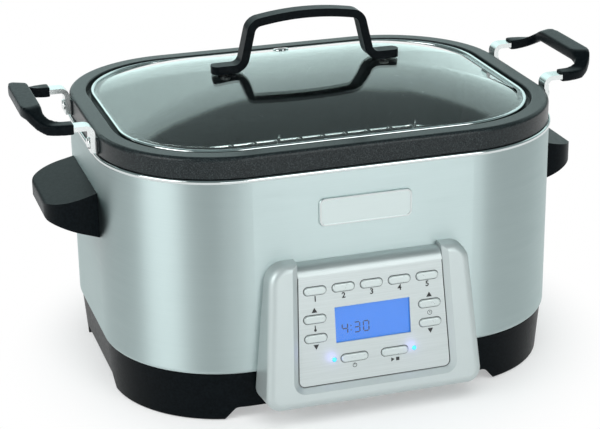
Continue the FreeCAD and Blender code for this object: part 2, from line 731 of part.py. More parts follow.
def base():
    """The black moulded skirt: four corner feet with raised edges between them, and a ledge inside."""
    top = BASE_HEIGHT
    under = top - BASE_WALL
    lip = SHELL_HEM_WIDTH + SEAT_GAP
    ledge_top = LEDGE_HEIGHT + LEDGE_WALL
    ledge_edge = base_outer(LEDGE_HEIGHT) - BASE_WALL - LEDGE_WIDTH
    skirt = around_body([
        (-BASE_TOP_INSET, top), (base_outer(BASE_EDGE), BASE_EDGE, BASE_TOE_RADIUS),
        (base_outer(BASE_EDGE) - BASE_WALL, BASE_EDGE, BASE_TOE_RADIUS),
        (base_outer(LEDGE_HEIGHT) - BASE_WALL, LEDGE_HEIGHT), (ledge_edge, LEDGE_HEIGHT),
        (ledge_edge, ledge_top), (base_outer(ledge_top) - BASE_WALL, ledge_top),
        (base_outer(under) - BASE_WALL, under), (-lip - BASE_LIP_WALL, under),
        (-lip - BASE_LIP_WALL, top + BASE_LIP_HEIGHT), (-lip, top + BASE_LIP_HEIGHT), (-lip, top)])
    front_arch = arch(HALF_LENGTH - FOOT_FRONT_LENGTH)
    side_arch = arch(HALF_DEPTH - FOOT_SIDE_LENGTH)
    cuts = [prism(front_arch, upright_at(-HALF_DEPTH), V(0, BODY_DEPTH, 0)),
            prism(side_arch, side_at(-HALF_LENGTH), V(BODY_LENGTH, 0, 0))]
    start = gland_axis_start()
    cuts.append(rod(start, V(0, -1, 0), GLAND_BODY_RADIUS + FIT_GAP, BASE_WALL + LEDGE_WIDTH))
    bosses = []
    sockets = []
    for x, y in pad_places():
        bosses.append(rod(V(x, y, PAD_HEIGHT), UP, PAD_BOSS_RADIUS, LEDGE_HEIGHT - PAD_HEIGHT))
        sockets.append(rod(V(x, y, 0), UP, PAD_PLUG_RADIUS + FIT_GAP, PAD_HEIGHT + PAD_PLUG_HEIGHT + FIT_GAP))
    footed = skirt.cut(Part.makeCompound(cuts)).multiFuse(bosses)
    return footed.cut(Part.makeCompound(sockets)).removeSplitter()


def base_plate():
    """A steel bottom plate, pulled up under the base's ledge by the nuts, with two rows of vents."""
    plate = plan_prism(base_outer(LEDGE_HEIGHT) - BASE_WALL - PLATE_GAP, PLATE_BOTTOM, LEDGE_HEIGHT)
    deep = PLATE_WALL + 2 * CUT_OVER
    low = PLATE_BOTTOM - CUT_OVER
    cuts = [rod(V(x, y, low), UP, ROD_RADIUS + SEAT_GAP, deep) for x, y in ROD_PLACES]
    cuts += [rod(V(x, y, low), UP, PAD_BOSS_RADIUS + PLATE_GAP, deep) for x, y in pad_places()]
    for side in (-1, 1):
        for i in range(VENTS_PER_SIDE):
            y = VENT_SETBACK + VENT_SPACING * i
            x = side * FRONT_FLAT / 2
            slot = [(x + a, y + b, radius) for a, b, radius in
                    rectangle(VENT_LENGTH / 2, VENT_WIDTH / 2, VENT_WIDTH / 2 - FIT_GAP)]
            cuts.append(prism(slot, flat_at(low), UP * deep))
    return plate.cut(Part.makeCompound(cuts))


def foot_pads():
    """Rubber feet plugged into the base's corner bosses."""
    pads = []
    for x, y in pad_places():
        pad = rod(V(x, y, 0), UP, PAD_RADIUS, PAD_HEIGHT)
        plug = rod(V(x, y, 0), UP, PAD_PLUG_RADIUS, PAD_HEIGHT + PAD_PLUG_HEIGHT)
        pads.append(pad.fuse(plug).removeSplitter())
    return Part.makeCompound(pads)


def cord_gland():
    """A flanged bush for the mains cord, snapped into the back of the base."""
    start = gland_axis_start()
    out = V(0, 1, 0)
    tail = BASE_WALL + GLAND_TAIL
    flange = rod(start, out, GLAND_FLANGE_RADIUS, GLAND_FLANGE)
    body = rod(start - out * tail, out, GLAND_BODY_RADIUS, tail + GLAND_FLANGE)
    bore = rod(start - out * (tail + CUT_OVER), out, GLAND_BORE, tail + GLAND_FLANGE + 2 * CUT_OVER)
    return flange.fuse(body).cut(bore).removeSplitter()


# Electronics in the base

def standoff_places():
    return [(x, BOARD_CENTRE_Y + y)
            for x, y in corners_of(BOARD_LENGTH / 2 - STANDOFF_INSET, BOARD_DEPTH / 2 - STANDOFF_INSET)]


def power_board():
    board = block((BOARD_LENGTH, BOARD_DEPTH, BOARD_WALL), (0, BOARD_CENTRE_Y), BOARD_TOP - BOARD_WALL)
    holes = [rod(V(x, y, 0), UP, STANDOFF_PIN_RADIUS + FIT_GAP, BOARD_TOP + CUT_OVER)
             for x, y in standoff_places()]
    return board.cut(Part.makeCompound(holes))


def board_standoffs():
    """Snap-in posts between the bottom plate and the power board."""
    posts = []
    for x, y in standoff_places():
        post = rod(V(x, y, LEDGE_HEIGHT), UP, STANDOFF_RADIUS, STANDOFF_HEIGHT)
        pin = rod(V(x, y, LEDGE_HEIGHT), UP, STANDOFF_PIN_RADIUS, STANDOFF_HEIGHT + 2 * BOARD_WALL)
        posts.append(post.fuse(pin).removeSplitter())
    return Part.makeCompound(posts)


def on_board(place):
    return place[0], BOARD_CENTRE_Y + place[1]


def power_relay():
    return block(RELAY_SIZE, on_board(RELAY_PLACE), BOARD_TOP)


def filter_capacitor():
    x, y = on_board(CAPACITOR_PLACE)
    return rod(V(x, y, BOARD_TOP), UP, CAPACITOR_RADIUS, CAPACITOR_HEIGHT)


def terminal_top(side):
    x, y = on_board(TERMINAL_PLACE)
    return V(x + side * LEADS_APART / 2, y, BOARD_TOP + TERMINAL_SIZE[2])


def terminal_block():
    return block(TERMINAL_SIZE, on_board(TERMINAL_PLACE), BOARD_TOP)


def element_leads():
    """Two wires from the element's pins down to the terminal block."""
    leads = []
    for side in (-1, 1):
        start = element_end(side) - UP * ELEMENT_PIN_LENGTH
        end = terminal_top(side)
        level = (start.z + end.z) / 2 - side * LEAD_STAGGER
        points = [start, V(start.x, start.y, level), V(end.x, end.y, level), end]
        leads.append(tube(points, LEAD_RADIUS, LEAD_BEND))
    return Part.makeCompound(leads)


def ribbon_cable():
    """A flat cable from the back of the control board, through the shell, down to the power board."""
    lean = math.tan(math.radians(PANEL_TILT))
    start_y = panel_face_y(RIBBON_HEIGHT) - PANEL_BOARD_BACK / math.cos(math.radians(PANEL_TILT)) + FIT_GAP
    landing_y = BOARD_CENTRE_Y - BOARD_DEPTH / 2 + RIBBON_LANDING
    path = [(start_y + lean * RIBBON_WALL, RIBBON_HEIGHT), (landing_y, RIBBON_HEIGHT, RIBBON_BEND),
            (landing_y, BOARD_TOP + FIT_GAP)]
    return prism(strip(path, RIBBON_WALL), side_at(-RIBBON_WIDTH / 2), V(RIBBON_WIDTH, 0, 0))


# Side carrying handles

def handle_blank(side, inset):
    """The handle's outer form, drawn in on every side by an inset."""
    root = HALF_LENGTH - BODY_CORNER / 4
    tip = HALF_LENGTH + HANDLE_REACH - inset
    half = HANDLE_HALF_WIDTH - inset
    slope_top = (HANDLE_ROOT_TOP - HANDLE_TIP_TOP) / HANDLE_REACH
    slope_bottom = (HANDLE_TIP_BOTTOM - HANDLE_ROOT_BOTTOM) / HANDLE_REACH
    run = HALF_LENGTH - root
    profile = [(root, HANDLE_ROOT_BOTTOM - slope_bottom * run + inset),
               (tip, HANDLE_TIP_BOTTOM + inset, HANDLE_TIP_RADIUS),
               (tip, HANDLE_TIP_TOP - inset, HANDLE_TIP_RADIUS),
               (root, HANDLE_ROOT_TOP + slope_top * run - inset)]
    corner = min(HANDLE_CORNER, HANDLE_CORNER_SHARE * half)
    plan = [(root, -half), (HALF_LENGTH, -half), (tip, -half - HANDLE_FLARE, corner),
            (tip, half + HANDLE_FLARE, corner), (HALF_LENGTH, half), (root, half)]
    deep = 2 * HANDLE_HALF_WIDTH + 4 * HANDLE_FLARE
    tall = 2 * RIM_TOP
    form = prism([(side * x, z, *r) for x, z, *r in profile], upright_at(-deep / 2), V(0, deep, 0))
    return form.common(prism([(side * x, y, *r) for x, y, *r in plan], flat_at(0), UP * tall))


def side_handle(side):
    """A hollow black moulding with two screw bosses, fitted to the shell's side."""
    body = plan_prism(FIT_GAP, 0, RIM_TOP)
    out = V(side, 0, 0)
    hollow = handle_blank(side, HANDLE_WALL)
    for bossed, seat in handle_screw_seats():
        if bossed == side:
            hollow = hollow.cut(rod(seat, out, HANDLE_BOSS_RADIUS, SHELL_WALL + HANDLE_REACH))
    handle = handle_blank(side, 0).cut(hollow).cut(body)
    for bossed, seat in handle_screw_seats():
        if bossed == side:
            deep = SHELL_WALL + SCREW_GRIP + SEAT_GAP
            handle = handle.cut(rod(seat, out, SCREW_RADIUS + FIT_GAP / 2, deep))
    return handle


def handle_screws():
    return Part.makeCompound([shell_screw(seat, V(side, 0, 0)) for side, seat in handle_screw_seats()])


def nameplate():
    """A bare pillowed metal badge on the shell's front."""
    corners = [(x, RIM_TOP - NAMEPLATE_DROP + z, radius) for x, z, radius in
               rectangle(NAMEPLATE_LENGTH / 2, NAMEPLATE_HEIGHT / 2, NAMEPLATE_CORNER)]
    back = -HALF_DEPTH - FIT_GAP
    plate = prism(corners, upright_at(back), V(0, -NAMEPLATE_WALL, 0))
    front = [edge for edge in plate.Edges if abs(edge.CenterOfMass.y - back + NAMEPLATE_WALL) < NEAR]
    return plate.makeFillet(NAMEPLATE_BEVEL, front)


# Control panel

def trapezoid(bottom, top, bottom_half, top_half, bottom_radius, top_radius):
    return [(-bottom_half, bottom, bottom_radius), (bottom_half, bottom, bottom_radius),
            (top_half, top, top_radius), (-top_half, top, top_radius)]


def faceplate_path():
    """The faceplate's front in side view: flat, then bent back to the shell at its top."""
    return [(panel_face_y(FACEPLATE_BOTTOM), FACEPLATE_BOTTOM),
            (panel_face_y(FACEPLATE_TOP), FACEPLATE_TOP, FACEPLATE_BEND),
            (-HALF_DEPTH - SEAT_GAP, FACEPLATE_TOP)]


def panel_frame():
    """The silver moulded surround: two rails and a foot round the faceplate, with a bevel down to it."""
    reach = FRAME_RAISE + 4 * PANEL_STANDOFF
    lean = math.tan(math.radians(FRAME_DRAFT))
    sections = []
    for ahead in (-PANEL_STANDOFF, reach):
        corners = trapezoid(FRAME_BOTTOM, FRAME_TOP, FRAME_BOTTOM_WIDTH / 2 - lean * ahead,
                            FRAME_TOP_WIDTH / 2 - lean * ahead, FRAME_BOTTOM_CORNER, FRAME_TOP_CORNER)
        sections.append(outline(corners, upright_at(-HALF_DEPTH - ahead)).OuterWire)
    frame = Part.makeLoft(sections, True, True)
    wide = FRAME_BOTTOM_WIDTH
    frame = frame.cut(on_panel(Part.makeBox(2 * wide, 2 * wide, 2 * reach, V(-wide, -wide, FRAME_RAISE))))
    out = PANEL_PLACE.Rotation.multVec(UP)
    rim = [edge for edge in frame.Edges
           if all(abs((vertex.Point - PANEL_PLACE.Base).dot(out) - FRAME_RAISE) < NEAR
                  for vertex in edge.Vertexes)]
    frame = frame.makeFillet(FRAME_EDGE, rim).cut(plan_prism(FIT_GAP, 0, RIM_TOP))
    bed_space = prism(strip(bed_path(), 2 * PANEL_STANDOFF), side_at(-wide), V(2 * wide, 0, 0))
    frame = frame.cut(bed_space.common(bevelled_recess()))
    cavity_half = SIDE_KEYS_X + KEY_WIDTH / 2 + KEY_GAP + KEY_FLANGE + CAVITY_MARGIN
    cavity = Part.makeBox(2 * cavity_half, CAVITY_TOP - CAVITY_BOTTOM, 2 * reach,
                          V(-cavity_half, CAVITY_BOTTOM, -2 * reach))
    frame = frame.cut(on_panel(cavity))
    holes = [rod(seat, V(0, -1, 0), SCREW_RADIUS + FIT_GAP / 2, SHELL_WALL + SCREW_GRIP + SEAT_GAP)
             for seat in frame_screw_seats()]
    return frame.cut(Part.makeCompound(holes)).removeSplitter()


def bed_path():
    """The face that the faceplate beds on, from below its foot up and back into the shell."""
    sink = FACEPLATE_WALL + SEAT_GAP
    setback = sink / math.cos(math.radians(PANEL_TILT))
    low = FACEPLATE_BOTTOM - FRAME_BOTTOM
    top = FACEPLATE_TOP - sink
    return [(panel_face_y(low) + setback, low), (panel_face_y(top) + setback, top, FACEPLATE_BEND - sink),
            (-HALF_DEPTH + sink, top)]


def bevelled_recess():
    """The space round the faceplate, opening outwards, without end at its top."""
    tall = 2 * (FACEPLATE_TOP - FACEPLATE_BOTTOM)
    spread = (FACEPLATE_TOP_WIDTH - FACEPLATE_BOTTOM_WIDTH) / (FACEPLATE_TOP - FACEPLATE_BOTTOM)
    bottom = (FACEPLATE_BOTTOM - PANEL_HEIGHT) / math.cos(math.radians(PANEL_TILT))
    sections = []
    for depth, grow in ((-4 * PANEL_STANDOFF, FACEPLATE_GAP), (0, FACEPLATE_GAP), (FRAME_RAISE, FRAME_BEVEL),
                        (2 * FRAME_RAISE, 2 * FRAME_BEVEL)):
        half = FACEPLATE_BOTTOM_WIDTH / 2 + grow
        corners = trapezoid(bottom - grow, bottom + tall, half, half + spread * tall / 2,
                            FACEPLATE_CORNER + grow, 0)
        sections.append(outline(corners, flat_at(depth)).OuterWire)
    return on_panel(Part.makeLoft(sections, True, True))


def racetrack(width, height, centre, low, high):
    x, y = centre
    corners = [(x + a, y + b, radius) for a, b, radius in rectangle(width / 2, height / 2, height / 2)]
    return prism(corners, flat_at(low), UP * (high - low))


KEYS = {}
for number in range(MODE_KEYS):
    mode_x = MODE_SPACING * (number - (MODE_KEYS - 1) / 2)
    KEYS["mode_button_%d" % (number + 1)] = (KEY_WIDTH, (mode_x, MODE_ROW))
for side_name, side_sign in (("left", -1), ("right", 1)):
    KEYS[side_name + "_up_button"] = (KEY_WIDTH, (side_sign * SIDE_KEYS_X, SIDE_UPPER_ROW))
    KEYS[side_name + "_down_button"] = (KEY_WIDTH, (side_sign * SIDE_KEYS_X, SIDE_LOWER_ROW))
KEYS["power_button"] = (LOWER_KEY_WIDTH, (-LOWER_KEYS_X, LOWER_ROW))
KEYS["start_button"] = (LOWER_KEY_WIDTH, (LOWER_KEYS_X, LOWER_ROW))


def key_button(width, centre):
    """A pillowed key that pushes through the faceplate, held in by its flange, with a stem behind."""
    flange_front = -FACEPLATE_WALL - SEAT_GAP
    flange_back = flange_front - KEY_FLANGE_WALL
    cap = racetrack(width, KEY_HEIGHT, centre, flange_back, KEY_STAND)
    top = [edge for edge in cap.Edges if abs(edge.CenterOfMass.z - KEY_STAND) < NEAR]
    cap = cap.makeFillet(KEY_EDGE, top)
    grow = 2 * (KEY_GAP + KEY_FLANGE)
    flange = racetrack(width + grow, KEY_HEIGHT + grow, centre, flange_back, flange_front)
    stem_tip = V(centre[0], centre[1], flange_back - KEY_STEM)
    stem = rod(stem_tip, UP, KEY_STEM_RADIUS, KEY_STEM + KEY_FLANGE_WALL)
    return on_panel(cap.multiFuse([flange, stem]).removeSplitter())


def panel_posts():
    return [(side * x, y) for x, y in PANEL_POSTS for side in (-1, 1)]


def panel_faceplate():
    """The brushed plate with its key holes, display window and lamp holes, and board posts behind."""
    wide = FACEPLATE_BOTTOM_WIDTH
    path = faceplate_path()[::-1]
    sheet = prism(strip(path, FACEPLATE_WALL), side_at(-wide), V(2 * wide, 0, 0))
    shape = trapezoid(FACEPLATE_BOTTOM, FACEPLATE_TOP + FACEPLATE_WALL,
                      FACEPLATE_BOTTOM_WIDTH / 2, FACEPLATE_TOP_WIDTH / 2, FACEPLATE_CORNER, 0)
    plate = sheet.common(prism(shape, upright_at(0), V(0, -2 * HALF_DEPTH, 0)))
    posts = [rod(V(x, y, PANEL_BOARD_FRONT), UP, POST_RADIUS, -PANEL_BOARD_FRONT - FACEPLATE_WALL / 2)
             for x, y in panel_posts()]
    deep = 4 * FACEPLATE_WALL
    holes = [racetrack(width + 2 * KEY_GAP, KEY_HEIGHT + 2 * KEY_GAP, centre, -deep, deep)
             for width, centre in KEYS.values()]
    window = block((DISPLAY_WIDTH, DISPLAY_HEIGHT, 2 * deep), (0, DISPLAY_ROW), -deep)
    holes.append(window)
    for side in (-1, 1):
        holes.append(rod(V(side * LAMP_X, LOWER_ROW, -deep), UP, LAMP_RADIUS + KEY_GAP, 2 * deep))
    for x, y in panel_posts():
        foot = V(x, y, PANEL_BOARD_FRONT)
        holes.append(rod(foot, UP, BOARD_SCREW_RADIUS + FIT_GAP / 2, BOARD_SCREW_GRIP + FIT_GAP))
    plate = plate.multiFuse([on_panel(post) for post in posts])
    return plate.cut(on_panel(Part.makeCompound(holes))).removeSplitter()


def frame_screws():
    return Part.makeCompound([shell_screw(seat, V(0, -1, 0)) for seat in frame_screw_seats()])


def control_board():
    tall = PANEL_BOARD_TOP - PANEL_BOARD_BOTTOM
    board = Part.makeBox(PANEL_BOARD_WIDTH, tall, BOARD_WALL,
                         V(-PANEL_BOARD_WIDTH / 2, PANEL_BOARD_BOTTOM, PANEL_BOARD_BACK))
    holes = [rod(V(x, y, PANEL_BOARD_BACK - CUT_OVER), UP, BOARD_SCREW_RADIUS + FIT_GAP,
                 BOARD_WALL + 2 * CUT_OVER)
             for x, y in panel_posts()]
    return on_panel(board.cut(Part.makeCompound(holes)))


def board_screws():
    screws = [slotted_screw(V(x, y, PANEL_BOARD_BACK), UP, BOARD_SCREW_RADIUS, BOARD_WALL + BOARD_SCREW_GRIP,
                            BOARD_SCREW_HEAD_RADIUS, BOARD_SCREW_HEAD_HEIGHT) for x, y in panel_posts()]
    return on_panel(Part.makeCompound(screws))


def key_switches():
    """One switch on the control board behind each key."""
    size = (SWITCH_SIZE, SWITCH_SIZE, SWITCH_HEIGHT)
    switches = [block(size, centre, PANEL_BOARD_FRONT) for width, centre in KEYS.values()]
    return on_panel(Part.makeCompound(switches))


def display_lens():
    """A clear window behind the faceplate's opening."""
    front = -FACEPLATE_WALL - SEAT_GAP
    size = (DISPLAY_WIDTH + 2 * LENS_MARGIN, DISPLAY_HEIGHT + 2 * LENS_MARGIN, LENS_WALL)
    return on_panel(block(size, (0, DISPLAY_ROW), front - LENS_WALL))


def display_module():
    """The lit display, on the control board under the lens."""
    front = -FACEPLATE_WALL - 2 * SEAT_GAP - LENS_WALL
    size = (DISPLAY_WIDTH + 2 * LENS_MARGIN, DISPLAY_HEIGHT + 2 * LENS_MARGIN, front - PANEL_BOARD_FRONT)
    return on_panel(block(size, (0, DISPLAY_ROW), PANEL_BOARD_FRONT))


def indicator_lamps():
    """Two lamps that stand on the control board and show through the faceplate."""
    lamps = []
    for side in (-1, 1):
        foot = V(side * LAMP_X, LOWER_ROW, PANEL_BOARD_FRONT)
        stem = rod(foot, UP, LAMP_RADIUS, LAMP_STAND - PANEL_BOARD_FRONT)
        tip = [edge for edge in stem.Edges if abs(edge.CenterOfMass.z - LAMP_STAND) < NEAR]
        seat = rod(foot, UP, LAMP_SEAT_RADIUS, LAMP_SEAT_HEIGHT)
        lamps.append(stem.makeFillet(LAMP_STAND, tip).fuse(seat).removeSplitter())
    return on_panel(Part.makeCompound(lamps))


# Cooking pan and its handles

RIVET_PLACES = [(side, y) for side in (-1, 1) for y in (-STRAP_Y, STRAP_Y)]
STRAP_INNER = HALF_LENGTH - PAN_INSET + LUG_STAND + FIT_GAP
STRAP_OUTER = STRAP_INNER + STRAP_WALL
STRAP_LEVEL = (GRIP_ARM_BOTTOM + GRIP_ARM_TOP) / 2 + STRAP_WALL / 2


def cooking_pan():
    """A cast pan: a deep vessel with a stepped seat for the lid and a wide downturned flange."""
    step = PAN_INSET + PAN_FLANGE_WIDTH
    wall_foot = PAN_WALL_INSET + PAN_DRAFT
    outer_wall = PAN_WALL_INSET - PAN_WALL
    under_seat = PAN_SEAT - PAN_WALL
    under_flange = PAN_TOP - PAN_WALL
    bottom = PAN_FLOOR - PAN_FLOOR_WALL
    pan = around_body([
        (-PAN_INSET, PAN_BOTTOM_EDGE, PAN_HEM_RADIUS), (-PAN_INSET, PAN_TOP, PAN_EDGE),
        (-step, PAN_TOP, PAN_STEP_RADIUS), (-step, PAN_SEAT, PAN_HEM_RADIUS),
        (-PAN_WALL_INSET, PAN_SEAT, PAN_SEAT_RADIUS), (-wall_foot, PAN_FLOOR, PAN_CORNER),
        (-BODY_CORNER, PAN_FLOOR), (-BODY_CORNER, bottom),
        (-wall_foot + PAN_WALL, bottom, PAN_CORNER + PAN_WALL), (-outer_wall, under_seat, PAN_SEAT_RADIUS),
        (-step + PAN_WALL, under_seat, PAN_STEP_RADIUS), (-step + PAN_WALL, under_flange, PAN_STEP_RADIUS),
        (-PAN_INSET - PAN_WALL, under_flange, PAN_STEP_RADIUS),
        (-PAN_INSET - PAN_WALL, PAN_BOTTOM_EDGE, PAN_HEM_RADIUS)],
        floor=(bottom, PAN_FLOOR))
    lugs = []
    for side, y in RIVET_PLACES:
        corners = [(y + a, (LUG_BOTTOM + LUG_TOP) / 2 + b, radius) for a, b, radius in
                   rectangle(LUG_WIDTH / 2, (LUG_TOP - LUG_BOTTOM) / 2, LUG_CORNER)]
        face = HALF_LENGTH - PAN_INSET + LUG_STAND
        lugs.append(prism(corners, side_at(side * face), V(-side * (LUG_STAND + PAN_WALL), 0, 0)))
    holes = [rod(V(side * STRAP_OUTER, y, RIVET_LEVEL), V(-side, 0, 0), RIVET_RADIUS + FIT_GAP / 2,
                 STRAP_WALL + LUG_STAND + 2 * PAN_WALL) for side, y in RIVET_PLACES]
    return pan.multiFuse(lugs).cut(Part.makeCompound(holes)).removeSplitter()


def strap_solid(side, y, grow):
    """A flat strap riveted to the pan, bent outwards into the grip."""
    under = STRAP_LEVEL - STRAP_WALL - grow
    path = [(STRAP_OUTER + grow, STRAP_BOTTOM), (STRAP_OUTER + grow, under, STRAP_BEND),
            (HALF_LENGTH + STRAP_END + grow, under)]
    corners = [(side * x, z, *radius) for x, z, *radius in strip(path, STRAP_WALL + 2 * grow)]
    width = STRAP_WIDTH + 2 * grow
    return prism(corners, upright_at(y - width / 2), V(0, width, 0))


def pan_straps(side):
    straps = []
    for placed, y in RIVET_PLACES:
        if placed == side:
            start = V(side * (STRAP_OUTER + CUT_OVER), y, RIVET_LEVEL)
            hole = rod(start, V(-side, 0, 0), RIVET_RADIUS + FIT_GAP / 2, STRAP_WALL + 2 * CUT_OVER)
            straps.append(strap_solid(side, y, 0).cut(hole))
    return Part.makeCompound(straps)


def pan_rivets():
    """Domed rivets through strap, lug and band."""
    rivets = []
    band_radius = BODY_CORNER - PAN_INSET - PAN_WALL
    fall = band_radius - math.sqrt(band_radius ** 2 - (STRAP_OVERHANG + RIVET_TAIL_RADIUS) ** 2)
    inner = HALF_LENGTH - PAN_INSET - PAN_WALL - fall - FIT_GAP
    for side, y in RIVET_PLACES:
        out = V(side, 0, 0)
        seat = V(side * (STRAP_OUTER + FIT_GAP), y, RIVET_LEVEL)
        dome = rod(seat, out, RIVET_HEAD_RADIUS, RIVET_HEAD)
        rim = [edge for edge in dome.Edges if abs(edge.CenterOfMass.x - seat.x - side * RIVET_HEAD) < NEAR]
        dome = dome.makeFillet(RIVET_ROUND, rim)
        shank = rod(V(side * inner, y, RIVET_LEVEL), out, RIVET_RADIUS, STRAP_OUTER + FIT_GAP - inner)
        tail = rod(V(side * inner, y, RIVET_LEVEL), -out, RIVET_TAIL_RADIUS, RIVET_TAIL)
        rivets.append(dome.multiFuse([shank, tail]).removeSplitter())
    return Part.makeCompound(rivets)


def pan_grip(side):
    """A black moulded grip: two low arms over the straps, swept up at skewed slopes into a raised bar."""
    start = HALF_LENGTH + GRIP_START
    end = HALF_LENGTH + GRIP_END
    inner = HALF_LENGTH + GRIP_BAR_INNER
    outer_y = STRAP_Y + GRIP_ARM_WIDTH / 2
    inner_y = STRAP_Y - GRIP_ARM_WIDTH / 2
    plan = [(start, outer_y), (end, outer_y, GRIP_OUTER_CORNER), (end, 0), (inner, 0),
            (inner, inner_y, GRIP_INNER_CORNER), (start, inner_y)]
    foot = STRAP_Y
    head = STRAP_Y - GRIP_SLOPE_RUN
    far = 2 * STRAP_Y
    profile = [(far, GRIP_ARM_BOTTOM), (far, GRIP_ARM_TOP), (foot, GRIP_ARM_TOP, GRIP_SWEEP),
               (head, GRIP_BAR_TOP, GRIP_SWEEP), (-far, GRIP_BAR_TOP), (-far, GRIP_BAR_BOTTOM),
               (head, GRIP_BAR_BOTTOM, GRIP_SWEEP), (foot, GRIP_ARM_BOTTOM, GRIP_SWEEP)]
    halves = []
    for half in (-1, 1):
        run = GRIP_END - GRIP_START
        lead = GRIP_SLOPE_SKEW * (inner - start)
        band = prism(profile, lambda s, z: V(side * start, half * (s - lead), z),
                     V(side * run, half * GRIP_SLOPE_SKEW * run, 0))
        corners = [(side * x, half * y, *r) for x, y, *r in plan]
        halves.append(band.common(prism(corners, flat_at(0), UP * 2 * GRIP_BAR_TOP)))
    grip = halves[0].fuse(halves[1]).removeSplitter()
    for placed, y in RIVET_PLACES:
        if placed == side:
            grip = grip.cut(strap_solid(side, y, FIT_GAP))
    return grip


# Lid

def lid_rim():
    """A rolled steel channel round the edge of the glass."""
    outer = -LID_RIM_INSET
    inner = outer - LID_RIM_WIDTH
    low = PAN_SEAT + SEAT_GAP
    top = GLASS_EDGE_TOP + FIT_GAP + LID_RIM_WALL
    return around_body([
        (outer, low, LID_RIM_TOE), (outer, top, LID_RIM_EDGE), (inner, top), (inner, top - LID_RIM_WALL),
        (outer - LID_RIM_WALL, top - LID_RIM_WALL, LID_RIM_EDGE - LID_RIM_WALL),
        (outer - LID_RIM_WALL, low + LID_RIM_WALL, LID_RIM_TOE - LID_RIM_WALL),
        (inner, low + LID_RIM_WALL), (inner, low)])


GLASS_EDGE = -LID_RIM_INSET - LID_RIM_WALL - FIT_GAP
GLASS_FOOT = GLASS_EDGE - GLASS_EDGE_WIDTH
GLASS_CROWN = GLASS_FOOT - GLASS_SHOULDER_WIDTH
GLASS_HALF_SLOPE = math.atan2(GLASS_RISE, GLASS_SHOULDER_WIDTH) / 2
SHOULDER_START = GLASS_CROWN_FLAT - BODY_CORNER
SHOULDER_RADIUS = (GLASS_CROWN - SHOULDER_START) / math.tan(GLASS_HALF_SLOPE)
STEAM_AXIS = V(0, math.sin(math.radians(STEAM_TILT)), math.cos(math.radians(STEAM_TILT)))
STEAM_SEAT = V(0, HALF_DEPTH + SHOULDER_START, GLASS_TOP - SHOULDER_RADIUS) + STEAM_AXIS * SHOULDER_RADIUS


def lid_glass():
    """Clear glass: a flat edge in the rim, a wide rounded shoulder and a level crown."""
    lift = GLASS_WALL * math.tan(GLASS_HALF_SLOPE)
    under = GLASS_TOP - GLASS_WALL
    glass = around_body([
        (GLASS_EDGE, GLASS_EDGE_BOTTOM, GLASS_EDGE_ROUND), (GLASS_EDGE, GLASS_EDGE_TOP, GLASS_EDGE_ROUND),
        (GLASS_FOOT, GLASS_EDGE_TOP, GLASS_EDGE_RADIUS), (GLASS_CROWN, GLASS_TOP, SHOULDER_RADIUS),
        (-BODY_CORNER, GLASS_TOP), (-BODY_CORNER, under),
        (GLASS_CROWN - lift, under, SHOULDER_RADIUS - GLASS_WALL),
        (GLASS_FOOT - lift, GLASS_EDGE_BOTTOM, GLASS_EDGE_RADIUS + GLASS_WALL)],
        floor=(under, GLASS_TOP))
    holes = [rod(V(x, 0, 0), UP, LID_HOLE_RADIUS, 2 * GLASS_TOP) for x in (-LID_SCREW_X, LID_SCREW_X)]
    through = 2 * GLASS_WALL
    holes.append(rod(STEAM_SEAT - STEAM_AXIS * through, STEAM_AXIS, STEAM_HOLE_RADIUS, 2 * through))
    return glass.cut(Part.makeCompound(holes))


def lid_handle():
    """A flat black bar, bent into two feet, two legs and a crowned top."""
    low = GLASS_TOP + SEAT_GAP
    path = [(LID_HANDLE_FOOT_END, low), (LID_HANDLE_LEG_FOOT, low, LID_HANDLE_FOOT_BEND + LID_HANDLE_WALL),
            (LID_HANDLE_LEG_TOP, low + LID_HANDLE_SHOULDER, LID_HANDLE_TOP_BEND),
            (0, low + LID_HANDLE_CROWN, LID_HANDLE_CROWN_RADIUS),
            (-LID_HANDLE_LEG_TOP, low + LID_HANDLE_SHOULDER, LID_HANDLE_TOP_BEND),
            (-LID_HANDLE_LEG_FOOT, low, LID_HANDLE_FOOT_BEND + LID_HANDLE_WALL), (-LID_HANDLE_FOOT_END, low)]
    corners = strip(path[::-1], LID_HANDLE_WALL)
    bar = prism(corners, upright_at(-LID_HANDLE_WIDTH / 2), V(0, LID_HANDLE_WIDTH, 0))
    tips = [edge for edge in bar.Edges if abs(abs(edge.CenterOfMass.x) - LID_HANDLE_FOOT_END) < NEAR
            and abs(edge.tangentAt(edge.FirstParameter).z) > 1 - NEAR]
    bar = bar.makeFillet(LID_HANDLE_TIP_RADIUS, tips)
    deep = low + LID_SCREW_GRIP + FIT_GAP
    holes = [rod(V(x, 0, 0), UP, LID_SCREW_RADIUS + FIT_GAP / 2, deep) for x in (-LID_SCREW_X, LID_SCREW_X)]
    return bar.cut(Part.makeCompound(holes))


def lid_screws():
    """Screws up through the glass into the handle's feet."""
    seat = GLASS_TOP - GLASS_WALL - FIT_GAP - WASHER_WALL - FIT_GAP
    grip = GLASS_TOP + SEAT_GAP + LID_SCREW_GRIP - seat
    return Part.makeCompound([
        slotted_screw(V(x, 0, seat), UP, LID_SCREW_RADIUS, grip, LID_SCREW_HEAD_RADIUS, LID_SCREW_HEAD)
        for x in (-LID_SCREW_X, LID_SCREW_X)])


def lid_washers():
    """Soft washers between the glass and the screw heads."""
    top = GLASS_TOP - GLASS_WALL - FIT_GAP
    washers = []
    for side in (-1, 1):
        start = V(side * LID_SCREW_X, 0, top - WASHER_WALL)
        washers.append(rod(start, UP, WASHER_RADIUS, WASHER_WALL).cut(
            rod(start, UP, LID_SCREW_RADIUS + FIT_GAP, WASHER_WALL)))
    return Part.makeCompound(washers)


